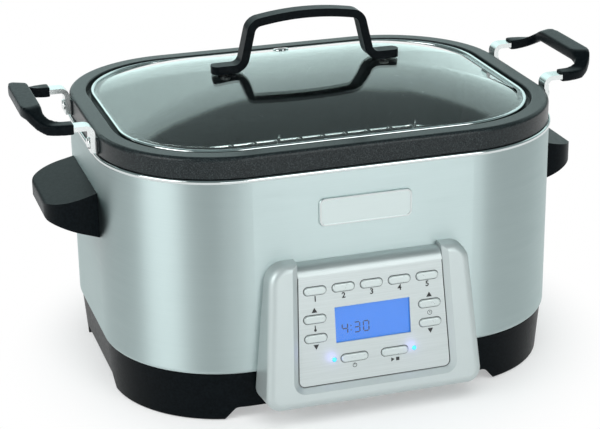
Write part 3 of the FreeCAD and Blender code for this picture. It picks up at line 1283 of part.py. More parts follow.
def vent_grommet():
    """A steel eyelet in the back of the glass's shoulder that lets steam out."""
    under_radius = SHOULDER_RADIUS - GLASS_WALL
    hollow = under_radius - math.sqrt(under_radius ** 2 - STEAM_FLANGE_RADIUS ** 2)
    low = -GLASS_WALL - FIT_GAP - hollow - STEAM_FLANGE
    high = FIT_GAP + STEAM_FLANGE
    body = rod(UP * low, UP, STEAM_BODY_RADIUS, high - low)
    upper = rod(UP * FIT_GAP, UP, STEAM_FLANGE_RADIUS, STEAM_FLANGE)
    rim = [edge for edge in upper.Edges if abs(edge.CenterOfMass.z - high) < NEAR]
    upper = upper.makeFillet(STEAM_ROUND, rim)
    lower = rod(UP * low, UP, STEAM_FLANGE_RADIUS, STEAM_FLANGE)
    bore = rod(UP * (low - CUT_OVER), UP, STEAM_BORE, high - low + 2 * CUT_OVER)
    eyelet = body.multiFuse([upper, lower]).cut(bore).removeSplitter()
    eyelet.Placement = FreeCAD.Placement(STEAM_SEAT, FreeCAD.Rotation(UP, STEAM_AXIS))
    return eyelet


# Wire rack

def roasting_rack():
    """A welded wire rack: a frame, cross wires on it, and bent legs under it that stand up inside it."""
    floor = PAN_FLOOR + SEAT_GAP
    frame_level = floor + RACK_HEIGHT
    half_x = HALF_LENGTH - RACK_INSET_X
    half_y = HALF_DEPTH - RACK_INSET_Y
    loop = [V(x, y, frame_level) for x, y, radius in rectangle(half_x, half_y)]
    wire = rounded_wire(loop, [RACK_CORNER] * 4)
    section = Part.Wire(Part.makeCircle(RACK_FRAME_RADIUS, V(0, -half_y, frame_level), V(1, 0, 0)))
    pieces = [wire.makePipeShell([section], True, False)]

    def half_depth(x, inset):
        """Half the depth, at a place along the rack, of the frame drawn in by an inset."""
        over = max(0.0, abs(x) - (half_x - RACK_CORNER))
        return half_y - RACK_CORNER + math.sqrt((RACK_CORNER - inset) ** 2 - over ** 2)

    cross_level = frame_level + RACK_FRAME_RADIUS + RACK_WIRE_RADIUS
    first = half_x - RACK_WIRE_MARGIN
    for i in range(RACK_WIRES):
        x = first * (2 * i / (RACK_WIRES - 1) - 1)
        reach = half_depth(x, 0) + RACK_FRAME_RADIUS
        pieces.append(rod(V(x, -reach, cross_level), V(0, 1, 0), RACK_WIRE_RADIUS, 2 * reach))
    end_leg = half_x - RACK_LEG_MARGIN
    middle_leg = 2 * RACK_WIRE_RADIUS + FIT_GAP
    low = floor + RACK_WIRE_RADIUS
    high = frame_level + RACK_POST
    for x in (-end_leg, middle_leg, end_leg):
        y = half_depth(x, RACK_FRAME_RADIUS + RACK_WIRE_RADIUS + FIT_GAP)
        leg = [V(x, -y, high), V(x, -y, low), V(x, y, low), V(x, y, high)]
        pieces.append(tube(leg, RACK_WIRE_RADIUS, RACK_LEG_BEND))
    return Part.makeCompound(pieces)


NODES = {
    "outer_shell": outer_shell(),
    "rim_trim_ring": rim_trim_ring(),
    "heating_well": heating_well(),
    "heating_element": heating_element(),
    "element_clips": element_clips(),
    "heat_reflector": heat_reflector(),
    "tie_rods": tie_rods(),
    "tie_nuts": tie_nuts(),
    "temperature_sensor": temperature_sensor(),
    "thermal_fuse": thermal_fuse(),
    "base": base(),
    "base_plate": base_plate(),
    "foot_pads": foot_pads(),
    "cord_gland": cord_gland(),
    "power_board": power_board(),
    "board_standoffs": board_standoffs(),
    "power_relay": power_relay(),
    "filter_capacitor": filter_capacitor(),
    "terminal_block": terminal_block(),
    "element_leads": element_leads(),
    "ribbon_cable": ribbon_cable(),
    "side_handle_left": side_handle(-1),
    "side_handle_right": side_handle(1),
    "handle_screws": handle_screws(),
    "nameplate": nameplate(),
    "panel_frame": panel_frame(),
    "panel_faceplate": panel_faceplate(),
    "frame_screws": frame_screws(),
    "control_board": control_board(),
    "board_screws": board_screws(),
    "key_switches": key_switches(),
    "display_lens": display_lens(),
    "display_module": display_module(),
    "indicator_lamps": indicator_lamps(),
    "cooking_pan": cooking_pan(),
    "pan_straps_left": pan_straps(-1),
    "pan_straps_right": pan_straps(1),
    "pan_grip_left": pan_grip(-1),
    "pan_grip_right": pan_grip(1),
    "pan_rivets": pan_rivets(),
    "lid_glass": lid_glass(),
    "lid_rim": lid_rim(),
    "lid_handle": lid_handle(),
    "lid_screws": lid_screws(),
    "lid_washers": lid_washers(),
    "vent_grommet": vent_grommet(),
    "roasting_rack": roasting_rack(),
}
for name, (width, centre) in KEYS.items():
    NODES[name] = key_button(width, centre)

# The origin is moved to the middle of the whole cooker's footprint, panel included
front = NODES["panel_frame"].optimalBoundingBox(False, False).YMin
back = HALF_DEPTH + RING_STAND
to_origin = V(0, -(front + back) / 2, 0)
os.makedirs("parts", exist_ok=True)
for name, shape in NODES.items():
    shape.translate(to_origin)
    shape.exportStep("parts/%s.step" % name)
print("origin moved along Y by %.4f" % to_origin.y)
for name, shape in NODES.items():
    box = shape.optimalBoundingBox(False, False)
    spans = (box.XMin, box.XMax, box.YMin, box.YMax, box.ZMin, box.ZMax)
    print("%-20s solids %2d valid %s volume %9.0f" % (name, len(shape.Solids), shape.isValid(), shape.Volume),
          "x %.1f..%.1f y %.1f..%.1f z %.1f..%.1f" % spans)
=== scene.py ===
import bmesh
import bpy
import math
from mathutils import Matrix, Vector


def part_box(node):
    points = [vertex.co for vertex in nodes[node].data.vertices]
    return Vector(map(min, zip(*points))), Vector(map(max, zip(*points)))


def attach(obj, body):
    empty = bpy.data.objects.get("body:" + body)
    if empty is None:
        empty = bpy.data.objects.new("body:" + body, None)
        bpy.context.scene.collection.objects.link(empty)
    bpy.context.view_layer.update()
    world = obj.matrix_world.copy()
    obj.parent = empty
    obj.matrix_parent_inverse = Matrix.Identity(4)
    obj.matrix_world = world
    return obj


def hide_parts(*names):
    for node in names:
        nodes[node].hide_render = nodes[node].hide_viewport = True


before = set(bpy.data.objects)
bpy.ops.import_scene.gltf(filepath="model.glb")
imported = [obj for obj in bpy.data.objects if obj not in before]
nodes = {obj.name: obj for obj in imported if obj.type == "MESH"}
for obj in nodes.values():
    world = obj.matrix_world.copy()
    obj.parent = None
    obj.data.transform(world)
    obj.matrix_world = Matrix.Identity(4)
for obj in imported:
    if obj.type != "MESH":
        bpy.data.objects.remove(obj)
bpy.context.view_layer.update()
scene = bpy.context.scene
scene.view_settings.view_transform = "Standard"


# The camera: it stands before the cooker's front, a little to its left, and looks down on the lid.
# Its place, turn and lens were fitted to the outlines in the photo.
CAMERA_PLACE = (-0.4326, -1.34706, 0.6582)
CAMERA_TURN = math.radians(-17.38)
CAMERA_LIFT = math.radians(21.02)
CAMERA_ROLL = math.radians(-0.79)
CAMERA_SENSOR = 36.0
CAMERA_LENS = 107.02
lens = bpy.data.cameras.new("camera")
lens.sensor_width = CAMERA_SENSOR
lens.lens = CAMERA_LENS
camera = bpy.data.objects.new("camera", lens)
camera.matrix_world = (
    Matrix.Translation(CAMERA_PLACE)
    @ Matrix.Rotation(CAMERA_TURN, 4, "Z")
    @ Matrix.Rotation(math.pi / 2 - CAMERA_LIFT, 4, "X")
    @ Matrix.Rotation(CAMERA_ROLL, 4, "Z")
)
scene.collection.objects.link(camera)
scene.camera = camera


# The room: a pale floor, cool walls, a grey ceiling and soft lamps. The back wall is bright up to where the
# ceiling begins, which the lid's glass shows as an arch, and two tall lamps light the round steel in bands.
LOW_WALL = ((0.00, 0.30), (0.18, 0.12), (0.26, 0.10), (0.36, 0.20), (0.50, 0.10), (0.60, 0.30), (0.66, 1.20),
            (0.74, 1.20), (0.79, 0.12), (1.00, 0.25))
HIGH_WALL = ((0.00, 0.34), (0.20, 0.24), (0.38, 0.30), (0.50, 0.40), (0.57, 1.10), (0.67, 1.10),
             (0.73, 1.35), (0.80, 1.35), (0.86, 0.25), (1.00, 0.30))
WALL_BLEND = ((0.10, 0.0), (0.28, 1.0))
COOL = (0.79, 1.0, 0.985)
CEILING = (0.16, 0.20, 0.205, 1.0)
SKYLIGHT = (0.50, 0.61, 0.61, 1.0)
WALL_TOP = ((0.672, 0.65), (0.692, 0.575), (0.740, 0.64))
CEILING_SHIFT = 0.5
CEILING_BLEND = ((0.475, 0.0), (0.525, 1.0))
world = bpy.data.worlds.new("room")
world.use_nodes = True
scene.world = world
room = world.node_tree
room.nodes.clear()


def add(tree, kind, **values):
    """A new shader node, with its inputs or its own settings set by name."""
    node = tree.nodes.new("ShaderNode" + kind)
    for name, value in values.items():
        if name in node.inputs:
            node.inputs[name].default_value = value
        else:
            setattr(node, name, value)
    return node


def calc(tree, operation, *terms):
    """The result of one sum on sockets or plain numbers."""
    node = add(tree, "Math", operation=operation)
    for socket, term in zip(node.inputs, terms):
        if isinstance(term, (int, float)):
            socket.default_value = term
        else:
            tree.links.new(term, socket)
    return node.outputs[0]


def ramp(tree, source, stops, blend="EASE"):
    """A smooth run of greys or colours along a socket's value."""
    node = add(tree, "ValToRGB")
    node.color_ramp.interpolation = blend
    points = node.color_ramp.elements
    while len(points) < len(stops):
        points.new(0.5)
    for point, (place, shade) in zip(points, stops):
        point.position = place
        point.color = (*shade, 1.0) if isinstance(shade, tuple) else (shade, shade, shade, 1.0)
    tree.links.new(source, node.inputs[0])
    return node.outputs["Color"]


def blend(tree, share, first, second):
    """One colour passing into another as a share grows from 0 to 1."""
    node = add(tree, "Mix", data_type="RGBA")
    for socket, colour in zip((node.inputs[0], node.inputs[6], node.inputs[7]), (share, first, second)):
        if isinstance(colour, tuple):
            socket.default_value = colour
        else:
            tree.links.new(colour, socket)
    return node.outputs[2]


split = add(room, "SeparateXYZ")
room.links.new(add(room, "TexCoord").outputs["Generated"], split.inputs[0])
around = calc(room, "ARCTAN2", split.outputs[1], split.outputs[0])
around = calc(room, "MULTIPLY_ADD", around, 0.5 / math.pi, 0.5)
walls = [ramp(room, around, [(spot, tuple(level * part for part in COOL)) for spot, level in run])
         for run in (LOW_WALL, HIGH_WALL)]
wall = blend(room, ramp(room, split.outputs[2], WALL_BLEND), *walls)
ceiling = blend(room, add(room, "LightPath").outputs["Is Transmission Ray"], CEILING, SKYLIGHT)
height = calc(room, "ADD", split.outputs[2], CEILING_SHIFT)
above = calc(room, "SUBTRACT", height, ramp(room, around, WALL_TOP))
shades = blend(room, ramp(room, above, CEILING_BLEND), wall, ceiling)
lit = add(room, "Background", Strength=1.0)
room.links.new(shades, lit.inputs["Color"])
room.links.new(lit.outputs[0], add(room, "OutputWorld").inputs[0])
LAMP_TARGET = Vector((0.0, 0.0, 0.12))


def lamp(name, place, size, watts, mirrored=True):
    """A rectangular soft lamp that faces the cooker, and that shiny surfaces may or may not mirror."""
    light = bpy.data.lights.new(name, "AREA")
    light.shape = "RECTANGLE"
    light.size, light.size_y = size
    light.energy = watts
    holder = bpy.data.objects.new(name, light)
    holder.location = place
    holder.rotation_euler = (LAMP_TARGET - Vector(place)).to_track_quat("-Z", "Y").to_euler()
    holder.visible_camera = False
    holder.visible_glossy = mirrored
    scene.collection.objects.link(holder)


lamp("lamp_above", (-0.2, -1.25, 1.75), (1.6, 1.1), 22.0, False)
lamp("lamp_left", (-1.77, -0.70, 0.95), (1.3, 1.5), 20.0)
lamp("lamp_front", (0.75, -2.07, 0.95), (0.9, 1.5), 12.0)
lamp("lamp_low", (0.1, -1.7, 0.16), (1.2, 0.25), 2.5)
FLOOR_RADIUS = 6.0
FLOOR_SIDES = 96
FLOOR_COLOUR = (0.92, 0.92, 0.92, 1.0)
FLOOR_FADE = ((0.15, 0.30), (0.27, 1.0))
floor_mesh = bpy.data.meshes.new("floor")
shape = bmesh.new()
bmesh.ops.create_circle(shape, cap_ends=True, radius=FLOOR_RADIUS, segments=FLOOR_SIDES)
shape.to_mesh(floor_mesh)
shape.free()
floor = bpy.data.objects.new("floor", floor_mesh)
scene.collection.objects.link(floor)
floor_paint = bpy.data.materials.new("floor_paint")
floor_paint.use_nodes = True
tree = floor_paint.node_tree
tree.nodes.clear()
reach = add(tree, "VectorMath", operation="LENGTH")
tree.links.new(add(tree, "TexCoord").outputs["Object"], reach.inputs[0])
far = ramp(tree, reach.outputs["Value"], FLOOR_FADE)
rays = add(tree, "LightPath")
mirrored = calc(tree, "MAXIMUM", rays.outputs["Is Glossy Ray"], rays.outputs["Is Transmission Ray"])
sight = calc(tree, "MAXIMUM", rays.outputs["Is Camera Ray"], mirrored)
choice = add(tree, "MixShader")
tree.links.new(calc(tree, "MULTIPLY", far, sight), choice.inputs[0])
tree.links.new(add(tree, "BsdfDiffuse", Color=FLOOR_COLOUR).outputs[0], choice.inputs[1])
tree.links.new(add(tree, "Emission", Strength=1.0).outputs[0], choice.inputs[2])
tree.links.new(choice.outputs[0], add(tree, "OutputMaterial").inputs[0])
floor_mesh.materials.append(floor_paint)


# The base: a moulded black tray with four feet on rubber pads. Its skin has the fine even grain of a
# sparked mould, its gloss varying a little at random.
NOISE_LOW, NOISE_HIGH = 0.3, 0.7


def paint(name, colour, roughness, metallic=0.0, **more):
    """A new material with its main shader's plain values set."""
    made = bpy.data.materials.new(name)
    made.use_nodes = True
    shader = made.node_tree.nodes["Principled BSDF"]
    shader.inputs["Base Color"].default_value = (*colour, 1.0)
    shader.inputs["Roughness"].default_value = roughness
    shader.inputs["Metallic"].default_value = metallic
    for socket, value in more.items():
        shader.inputs[socket.replace("_", " ")].default_value = value
    return made


def speckle(made, scale, stretch=(1.0, 1.0, 1.0), detail=3.0):
    """An even texture on the piece's own coordinates, finer along a way where stretch is larger."""
    tree = made.node_tree
    turned = add(tree, "Mapping", Scale=stretch)
    tree.links.new(add(tree, "TexCoord").outputs["Object"], turned.inputs["Vector"])
    texture = add(tree, "TexNoise", Scale=scale, Detail=detail)
    tree.links.new(turned.outputs[0], texture.inputs["Vector"])
    return texture.outputs[0]


def vary(made, source, low, high, socket="Roughness"):
    """Lets a texture move a plain value between two ends."""
    tree = made.node_tree
    spread = add(tree, "MapRange")
    ends = (("From Min", NOISE_LOW), ("From Max", NOISE_HIGH), ("To Min", low), ("To Max", high))
    for end, value in ends:
        spread.inputs[end].default_value = value
    tree.links.new(source, spread.inputs["Value"])
    tree.links.new(spread.outputs["Result"], tree.nodes["Principled BSDF"].inputs[socket])


def tint(made, source, dark, light, low=0.35, high=0.65):
    """Lets a texture move the colour between two shades."""
    tree = made.node_tree
    shades = ramp(tree, source, ((low, dark), (high, light)), "LINEAR")
    tree.links.new(shades, tree.nodes["Principled BSDF"].inputs["Base Color"])


def emboss(made, source, depth):
    """Lets a texture raise and lower the surface by a depth in metres."""
    tree = made.node_tree
    bump = add(tree, "Bump", Distance=depth)
    tree.links.new(source, bump.inputs["Height"])
    tree.links.new(bump.outputs[0], tree.nodes["Principled BSDF"].inputs["Normal"])


def wear(made, *names):
    """Puts a material on CAD pieces."""
    for name in names:
        nodes[name].data.materials.clear()
        nodes[name].data.materials.append(made)


def moulding(name, haze):
    """A black plastic skin with a fine grain, and a haze at shallow angles."""
    made = paint(name, (0.004, 0.006, 0.007), 0.35, Specular_IOR_Level=0.05,
                 Sheen_Weight=haze, Sheen_Roughness=0.4, Sheen_Tint=(0.80, 0.95, 1.0, 1.0))
    vary(made, speckle(made, 350.0), 0.31, 0.39)
    tint(made, speckle(made, 500.0), (0.0010, 0.0022, 0.0030), (0.0030, 0.0050, 0.0064))
    emboss(made, speckle(made, 2200.0, detail=1.0), 0.00002)
    return made


base_moulding = moulding("base_moulding", 0.0)
wear(base_moulding, "base", "cord_gland")
pad_rubber = paint("pad_rubber", (0.02, 0.02, 0.02), 0.75)
vary(pad_rubber, speckle(pad_rubber, 300.0), 0.65, 0.85)
emboss(pad_rubber, speckle(pad_rubber, 1500.0), 0.00004)
wear(pad_rubber, "foot_pads", "lid_washers")


# The inner works: zinc-plated plates, rods and screws, the aluminium well with its heating ring,
# boards, parts and leads. All but the well, which shows once the pan is out, are hidden in the built cooker.
zinc = paint("zinc", (0.55, 0.57, 0.58), 0.35, 1.0)
vary(zinc, speckle(zinc, 120.0), 0.28, 0.45)
tint(zinc, speckle(zinc, 45.0), (0.48, 0.50, 0.52), (0.62, 0.63, 0.62))
wear(zinc, "base_plate", "tie_rods", "tie_nuts", "handle_screws", "frame_screws", "board_screws",
     "lid_screws", "element_clips", "heat_reflector")
aluminium = paint("aluminium", (0.60, 0.61, 0.62), 0.45, 1.0)
vary(aluminium, speckle(aluminium, 40.0), 0.38, 0.55)
emboss(aluminium, speckle(aluminium, 900.0), 0.00002)
wear(aluminium, "heating_well", "temperature_sensor", "thermal_fuse")
sheath = paint("sheath", (0.16, 0.15, 0.14), 0.5, 1.0)
vary(sheath, speckle(sheath, 300.0), 0.4, 0.65)
wear(sheath, "heating_element")
board_green = paint("board_green", (0.03, 0.16, 0.07), 0.4)
vary(board_green, speckle(board_green, 400.0), 0.3, 0.5)
wear(board_green, "power_board", "control_board")
part_plastic = paint("part_plastic", (0.05, 0.05, 0.06), 0.5)
vary(part_plastic, speckle(part_plastic, 500.0), 0.4, 0.6)
wear(part_plastic, "board_standoffs", "power_relay", "filter_capacitor", "terminal_block", "key_switches")
lead_cover = paint("lead_cover", (0.55, 0.53, 0.50), 0.55)
vary(lead_cover, speckle(lead_cover, 600.0), 0.45, 0.65)
wear(lead_cover, "element_leads", "ribbon_cable")


# The outer shell: one band of brushed stainless sheet bent round the body, with a rolled hem at its
# foot. The brushing runs level round the body, so lights spread upright in it.
brushed_steel = paint("brushed_steel", (0.495, 0.59, 0.59), 0.46, 1.0, Anisotropic=0.88,
                      Anisotropic_Rotation=0.25)
lines = speckle(brushed_steel, 60.0, (0.35, 0.35, 40.0), 4.0)
vary(brushed_steel, lines, 0.42, 0.52)
emboss(brushed_steel, lines, 0.00001)
brushing = add(brushed_steel.node_tree, "Tangent", direction_type="RADIAL", axis="Z")
brushed_steel.node_tree.links.new(
    brushing.outputs[0], brushed_steel.node_tree.nodes["Principled BSDF"].inputs["Tangent"])
wear(brushed_steel, "outer_shell")


# The trim ring: a bead of polished steel, rolled round the shell's top edge.
# Its fine marks run along the bead.
bright_steel = paint("bright_steel", (0.66, 0.71, 0.71), 0.10, 1.0)
vary(bright_steel, speckle(bright_steel, 50.0, (1.0, 1.0, 8.0)), 0.07, 0.14)
emboss(bright_steel, speckle(bright_steel, 500.0, (0.3, 0.3, 4.0)), 0.000004)
wear(bright_steel, "rim_trim_ring")


# The side handles: hollow black mouldings screwed to the shell from inside. The mould rounds every edge,
# so each is a copy of its CAD piece with bevelled edges.
SHARP_ANGLE = math.radians(32.0)
EDGE_ANGLE = math.radians(35.0)
FLAT_ANGLE = math.radians(0.5)
MERGE = 1e-6
HANDLE_ROUND = 0.0012


def place(name, shape, made, body, slot, *stands_for):
    """Makes a finished mesh a piece of the cooker."""
    mesh = bpy.data.meshes.new(name)
    shape.to_mesh(mesh)
    shape.free()
    mesh.materials.append(made)
    mesh.shade_smooth()
    mesh.set_sharp_from_angle(angle=SHARP_ANGLE)
    piece = bpy.data.objects.new(name, mesh)
    scene.collection.objects.link(piece)
    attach(piece, body)
    if stands_for:
        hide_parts(*stands_for)
    return piece


def soften(name, radius, body, slot, made, level=-1.0):
    """A copy of a CAD piece with its sharp edges above a level rounded."""
    shape = bmesh.new()
    shape.from_mesh(nodes[name].data)
    bmesh.ops.remove_doubles(shape, verts=shape.verts, dist=MERGE)
    bmesh.ops.dissolve_limit(shape, angle_limit=FLAT_ANGLE, verts=shape.verts, edges=shape.edges)
    sharp = [edge for edge in shape.edges if edge.is_manifold and edge.calc_face_angle() > EDGE_ANGLE
             and max(vert.co.z for vert in edge.verts) > level]
    bmesh.ops.bevel(shape, geom=sharp, offset=radius, offset_type="OFFSET", segments=4, profile=0.5,
                    affect="EDGES", material=-1, clamp_overlap=True)
    piece = place(name + "_rounded", shape, made, body, slot, name)
    even = piece.modifiers.new("even_faces", "WEIGHTED_NORMAL")
    even.keep_sharp = True
    return piece


handle_moulding = moulding("handle_moulding", 0.07)
for side in ("left", "right"):
    soften("side_handle_" + side, HANDLE_ROUND, "housing", "black_plastic", handle_moulding)


# The nameplate: a satin metal badge seated on the shell's front and left bare. A raised polished rim
# runs round it, drawn as a rounded oblong that is hollowed out and given its height.
RIM_WIDTH = 0.0012
RIM_STAND = 0.0004
RIM_INSET = 0.001
RIM_CORNER = 0.0045
plate_steel = paint("plate_steel", (0.61, 0.70, 0.695), 0.34, 1.0)
vary(plate_steel, speckle(plate_steel, 60.0, (0.5, 1.0, 30.0)), 0.30, 0.40)
wear(plate_steel, "nameplate")
plate_low, plate_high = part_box("nameplate")
shape = bmesh.new()
bmesh.ops.create_grid(shape, x_segments=1, y_segments=1, size=0.5)
plate_size = (plate_high.x - plate_low.x - RIM_INSET, plate_high.z - plate_low.z - RIM_INSET, 1.0)
bmesh.ops.scale(shape, verts=shape.verts, vec=plate_size)
bmesh.ops.bevel(shape, geom=shape.verts, offset=RIM_CORNER, segments=8, profile=0.5, affect="VERTICES",
                material=-1)
middle = shape.faces[:]
bmesh.ops.inset_region(shape, faces=middle, thickness=RIM_WIDTH, use_boundary=True, use_even_offset=True)
bmesh.ops.delete(shape, geom=middle, context="FACES")
raised = bmesh.ops.extrude_face_region(shape, geom=shape.faces[:])["geom"]
raised = [part for part in raised if isinstance(part, bmesh.types.BMVert)]
bmesh.ops.translate(shape, verts=raised, vec=(0.0, 0.0, RIM_STAND))
bmesh.ops.recalc_face_normals(shape, faces=shape.faces)
plate_middle = Matrix.Translation((0.0, plate_low.y, (plate_low.z + plate_high.z) / 2))
bmesh.ops.transform(shape, verts=shape.verts, matrix=plate_middle @ Matrix.Rotation(math.pi / 2, 4, "X"))
place("nameplate_rim", shape, bright_steel, "housing", "nameplate_metal")


# The control panel: a silver-painted moulded frame, and in it a brushed aluminium faceplate whose top
# edge rolls back to the shell.
silver_paint = paint("silver_paint", (0.475, 0.53, 0.53), 0.42, 0.6)
vary(silver_paint, speckle(silver_paint, 1800.0), 0.38, 0.46)
emboss(silver_paint, speckle(silver_paint, 2200.0, detail=1.0), 0.000006)
wear(silver_paint, "panel_frame")
face_metal = paint("face_metal", (0.49, 0.545, 0.545), 0.40, 0.85)
grain = speckle(face_metal, 90.0, (0.3, 30.0, 30.0), 4.0)
vary(face_metal, grain, 0.37, 0.45)
tint(face_metal, grain, (0.465, 0.515, 0.515), (0.52, 0.57, 0.57))
wear(face_metal, "panel_faceplate")


# The display: a back-lit blue crystal panel behind a clear window. Its dark digits are bars laid on the
# panel's face, one for each segment that a digit shows, out of seven.
PANEL_TILT = math.radians(8.0)
PANEL_MIDDLE = 0.083
INK = 0.00006
SEGMENTS = {"a": (0, 1, True), "b": (1, 0.5, False), "c": (1, -0.5, False), "d": (0, -1, True),
            "e": (-1, -0.5, False), "f": (-1, 0.5, False), "g": (0, 0, True)}
DIGITS = (("fgbc", -0.0225), ("abgcd", -0.0125), ("abcdef", -0.0050))
DIGIT_HALF_WIDTH = 0.0022
DIGIT_HALF_HEIGHT = 0.0040
SEGMENT_WALL = 0.0009
DIGIT_ROW = -0.0062
COLON_X = -0.0175
COLON_HALF_HEIGHT = 0.0018
DISPLAY_LIGHT = (0.03, 0.29, 1.0, 1.0)
window_clear = paint("window_clear", (0.97, 0.98, 1.0), 0.04, IOR=1.49, Transmission_Weight=1.0)
vary(window_clear, speckle(window_clear, 250.0), 0.03, 0.05)
wear(window_clear, "display_lens")
display_glow = paint("display_glow", (0.015, 0.11, 0.45), 0.4, Emission_Strength=0.52,
                     Emission_Color=DISPLAY_LIGHT)
vary(display_glow, speckle(display_glow, 800.0), 0.35, 0.45)
wear(display_glow, "display_module")
panel_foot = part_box("panel_faceplate")[0]
panel = (
    Matrix.Translation((0.0, panel_foot.y, panel_foot.z))
    @ Matrix.Rotation(math.pi / 2 - PANEL_TILT, 4, "X")
    @ Matrix.Translation((0.0, (PANEL_MIDDLE - panel_foot.z) / math.cos(PANEL_TILT), 0.0))
)
out_of_panel = panel.to_3x3() @ Vector((0.0, 0.0, 1.0))


def bar(shape, x, y, wide, tall, lift=0.0):
    """A flat bar in the panel's plane, with sizes in metres about the panel's middle."""
    flat = Matrix.Translation((x, y, lift)) @ Matrix.Diagonal((wide, tall, 1.0, 1.0))
    bmesh.ops.create_grid(shape, x_segments=1, y_segments=1, size=0.5, matrix=panel @ flat)


def ink_up(shape):
    """Gives flat marks in the panel's plane the thickness of a print."""
    raised = bmesh.ops.extrude_face_region(shape, geom=shape.faces[:])["geom"]
    verts = [part for part in raised if isinstance(part, bmesh.types.BMVert)]
    bmesh.ops.translate(shape, verts=verts, vec=out_of_panel * INK)
    bmesh.ops.recalc_face_normals(shape, faces=shape.faces)


module_face = max((panel.inverted() @ vert.co).z for vert in nodes["display_module"].data.vertices)
segment_ink = paint("segment_ink", (0.008, 0.016, 0.10), 0.4)
vary(segment_ink, speckle(segment_ink, 900.0), 0.35, 0.5)
digits = bmesh.new()
for lit_segments, digit_x in DIGITS:
    for key in lit_segments:
        across, up, level = SEGMENTS[key]
        wide = 2 * DIGIT_HALF_WIDTH - SEGMENT_WALL if level else SEGMENT_WALL
        tall = SEGMENT_WALL if level else DIGIT_HALF_HEIGHT - SEGMENT_WALL
        bar(digits, digit_x + across * DIGIT_HALF_WIDTH, DIGIT_ROW + up * DIGIT_HALF_HEIGHT, wide, tall,
            module_face)
for dot in (-1, 1):
    bar(digits, COLON_X, DIGIT_ROW + dot * COLON_HALF_HEIGHT, SEGMENT_WALL, SEGMENT_WALL, module_face)
ink_up(digits)
place("display_digits", digits, segment_ink, "housing", "display_blue")


# The keys: pillowed silver plastic caps that push through the faceplate, each with a stem that meets
# its switch on the board behind.
KEYS = ("mode_button_1", "mode_button_2", "mode_button_3", "mode_button_4", "mode_button_5", "left_up_button",
        "left_down_button", "right_up_button", "right_down_button", "power_button", "start_button")
key_silver = paint("key_silver", (0.50, 0.555, 0.55), 0.28, 0.45)
vary(key_silver, speckle(key_silver, 700.0), 0.27, 0.33)
wear(key_silver, *KEYS)


# The lamps: two small blue lenses set in the faceplate beside the lower keys. They are lit, and a faint
# light before each lens stands for its glow on the metal round it.
LAMP_X = 0.0332
LOWER_ROW = -0.0293
LAMP_LIGHT = (0.03, 0.42, 1.0, 1.0)
HALO_LIFT = 0.0075
HALO_WATTS = 0.0012
HALO_COLOUR = (0.32, 0.28, 1.0)
HALO_SIZE = 0.005
lamp_blue = paint("lamp_blue", (0.05, 0.25, 0.6), 0.2, Emission_Strength=2.2, Emission_Color=LAMP_LIGHT)
vary(lamp_blue, speckle(lamp_blue, 900.0), 0.16, 0.24)
wear(lamp_blue, "indicator_lamps")
for lamp_side in (-1, 1):
    halo = bpy.data.lights.new("halo", "POINT")
    halo.energy = HALO_WATTS
    halo.color = HALO_COLOUR
    halo.shadow_soft_size = HALO_SIZE
    holder = bpy.data.objects.new("halo", halo)
    holder.location = panel @ Vector((lamp_side * LAMP_X, LOWER_ROW, HALO_LIFT))
    holder.visible_camera = False
    scene.collection.objects.link(holder)


# The marks on the faceplate: printed numerals, arrows and the usual signs for heat, time, power, and
# start and stop, all flat ink. Thin dark lines round the keys and the faceplate are painted shade, drawn in
# the same ink.
MODE_ROW = 0.0283
MODE_SPACING = 0.0231
SIDE_X = 0.0474
MARK_DROP = 0.0068
FACE_LIFT = 0.0
# The widths and rounding of the painted shade lines in the gaps round the keys and the faceplate.
KEY_GAP = 0.0005
KEY_CLEAR = 0.00005
KEY_ROUND = 0.49
FACE_FOOT, FACE_HEAD = -0.0484, 0.0398
FACE_HALF_FOOT, FACE_HALF_HEAD = 0.0632, 0.0594
FACE_CORNER = 0.0052
FACE_LINE = 0.0005
HEAD_BAND = 0.0009
NUMERAL_SIZE = 0.0062
NUMERAL_WEIGHT = 0.00018
ARROW_UP_ROW, ARROW_DOWN_ROW = 0.0121, -0.0164
ARROW_SIZE = 0.0027
HEAT_STEM = (-SIDE_X, -0.0013, 0.0009, 0.0034)
HEAT_BULB = (-SIDE_X, -0.0034, 0.0011)
CLOCK_RING = (SIDE_X, -0.0021, 0.0020, 0.0004)
CLOCK_HANDS = ((SIDE_X, -0.0016, 0.0004, 0.0012), (SIDE_X + 0.0004, -0.0021, 0.0011, 0.0004))
POWER_RING = (-0.0167, -0.0361, 0.0018, 0.00045)
POWER_STROKE = (-0.0167, -0.0350, 0.0005, 0.0020)
START_SIGN = (0.0145, -0.0361, 0.0019)
STOP_SIGN = (0.0190, -0.0361, 0.0028, 0.0028)
# Dark ink for the print, and also for the painted shade in the gaps round the keys and the faceplate.
black_ink_and_gap_shade = paint("black_ink_and_gap_shade", (0.012, 0.013, 0.014), 0.5)
vary(black_ink_and_gap_shade, speckle(black_ink_and_gap_shade, 900.0), 0.42, 0.6)
marks = bmesh.new()


def disc(x, y, radius, segments=24, turn=0.0):
    """A flat disc or many-sided mark in the panel's plane."""
    flat = Matrix.Translation((x, y, FACE_LIFT)) @ Matrix.Rotation(turn, 4, "Z")
    bmesh.ops.create_circle(marks, cap_ends=True, radius=radius, segments=segments, matrix=panel @ flat)


def ring(x, y, radius, wall):
    """A flat ring in the panel's plane."""
    flat = panel @ Matrix.Translation((x, y, FACE_LIFT))
    rims = [bmesh.ops.create_circle(marks, radius=size, segments=32, matrix=flat)["verts"]
            for size in (radius, radius - wall)]
    edges = {edge for rim in rims for vert in rim for edge in vert.link_edges}
    bmesh.ops.bridge_loops(marks, edges=list(edges))


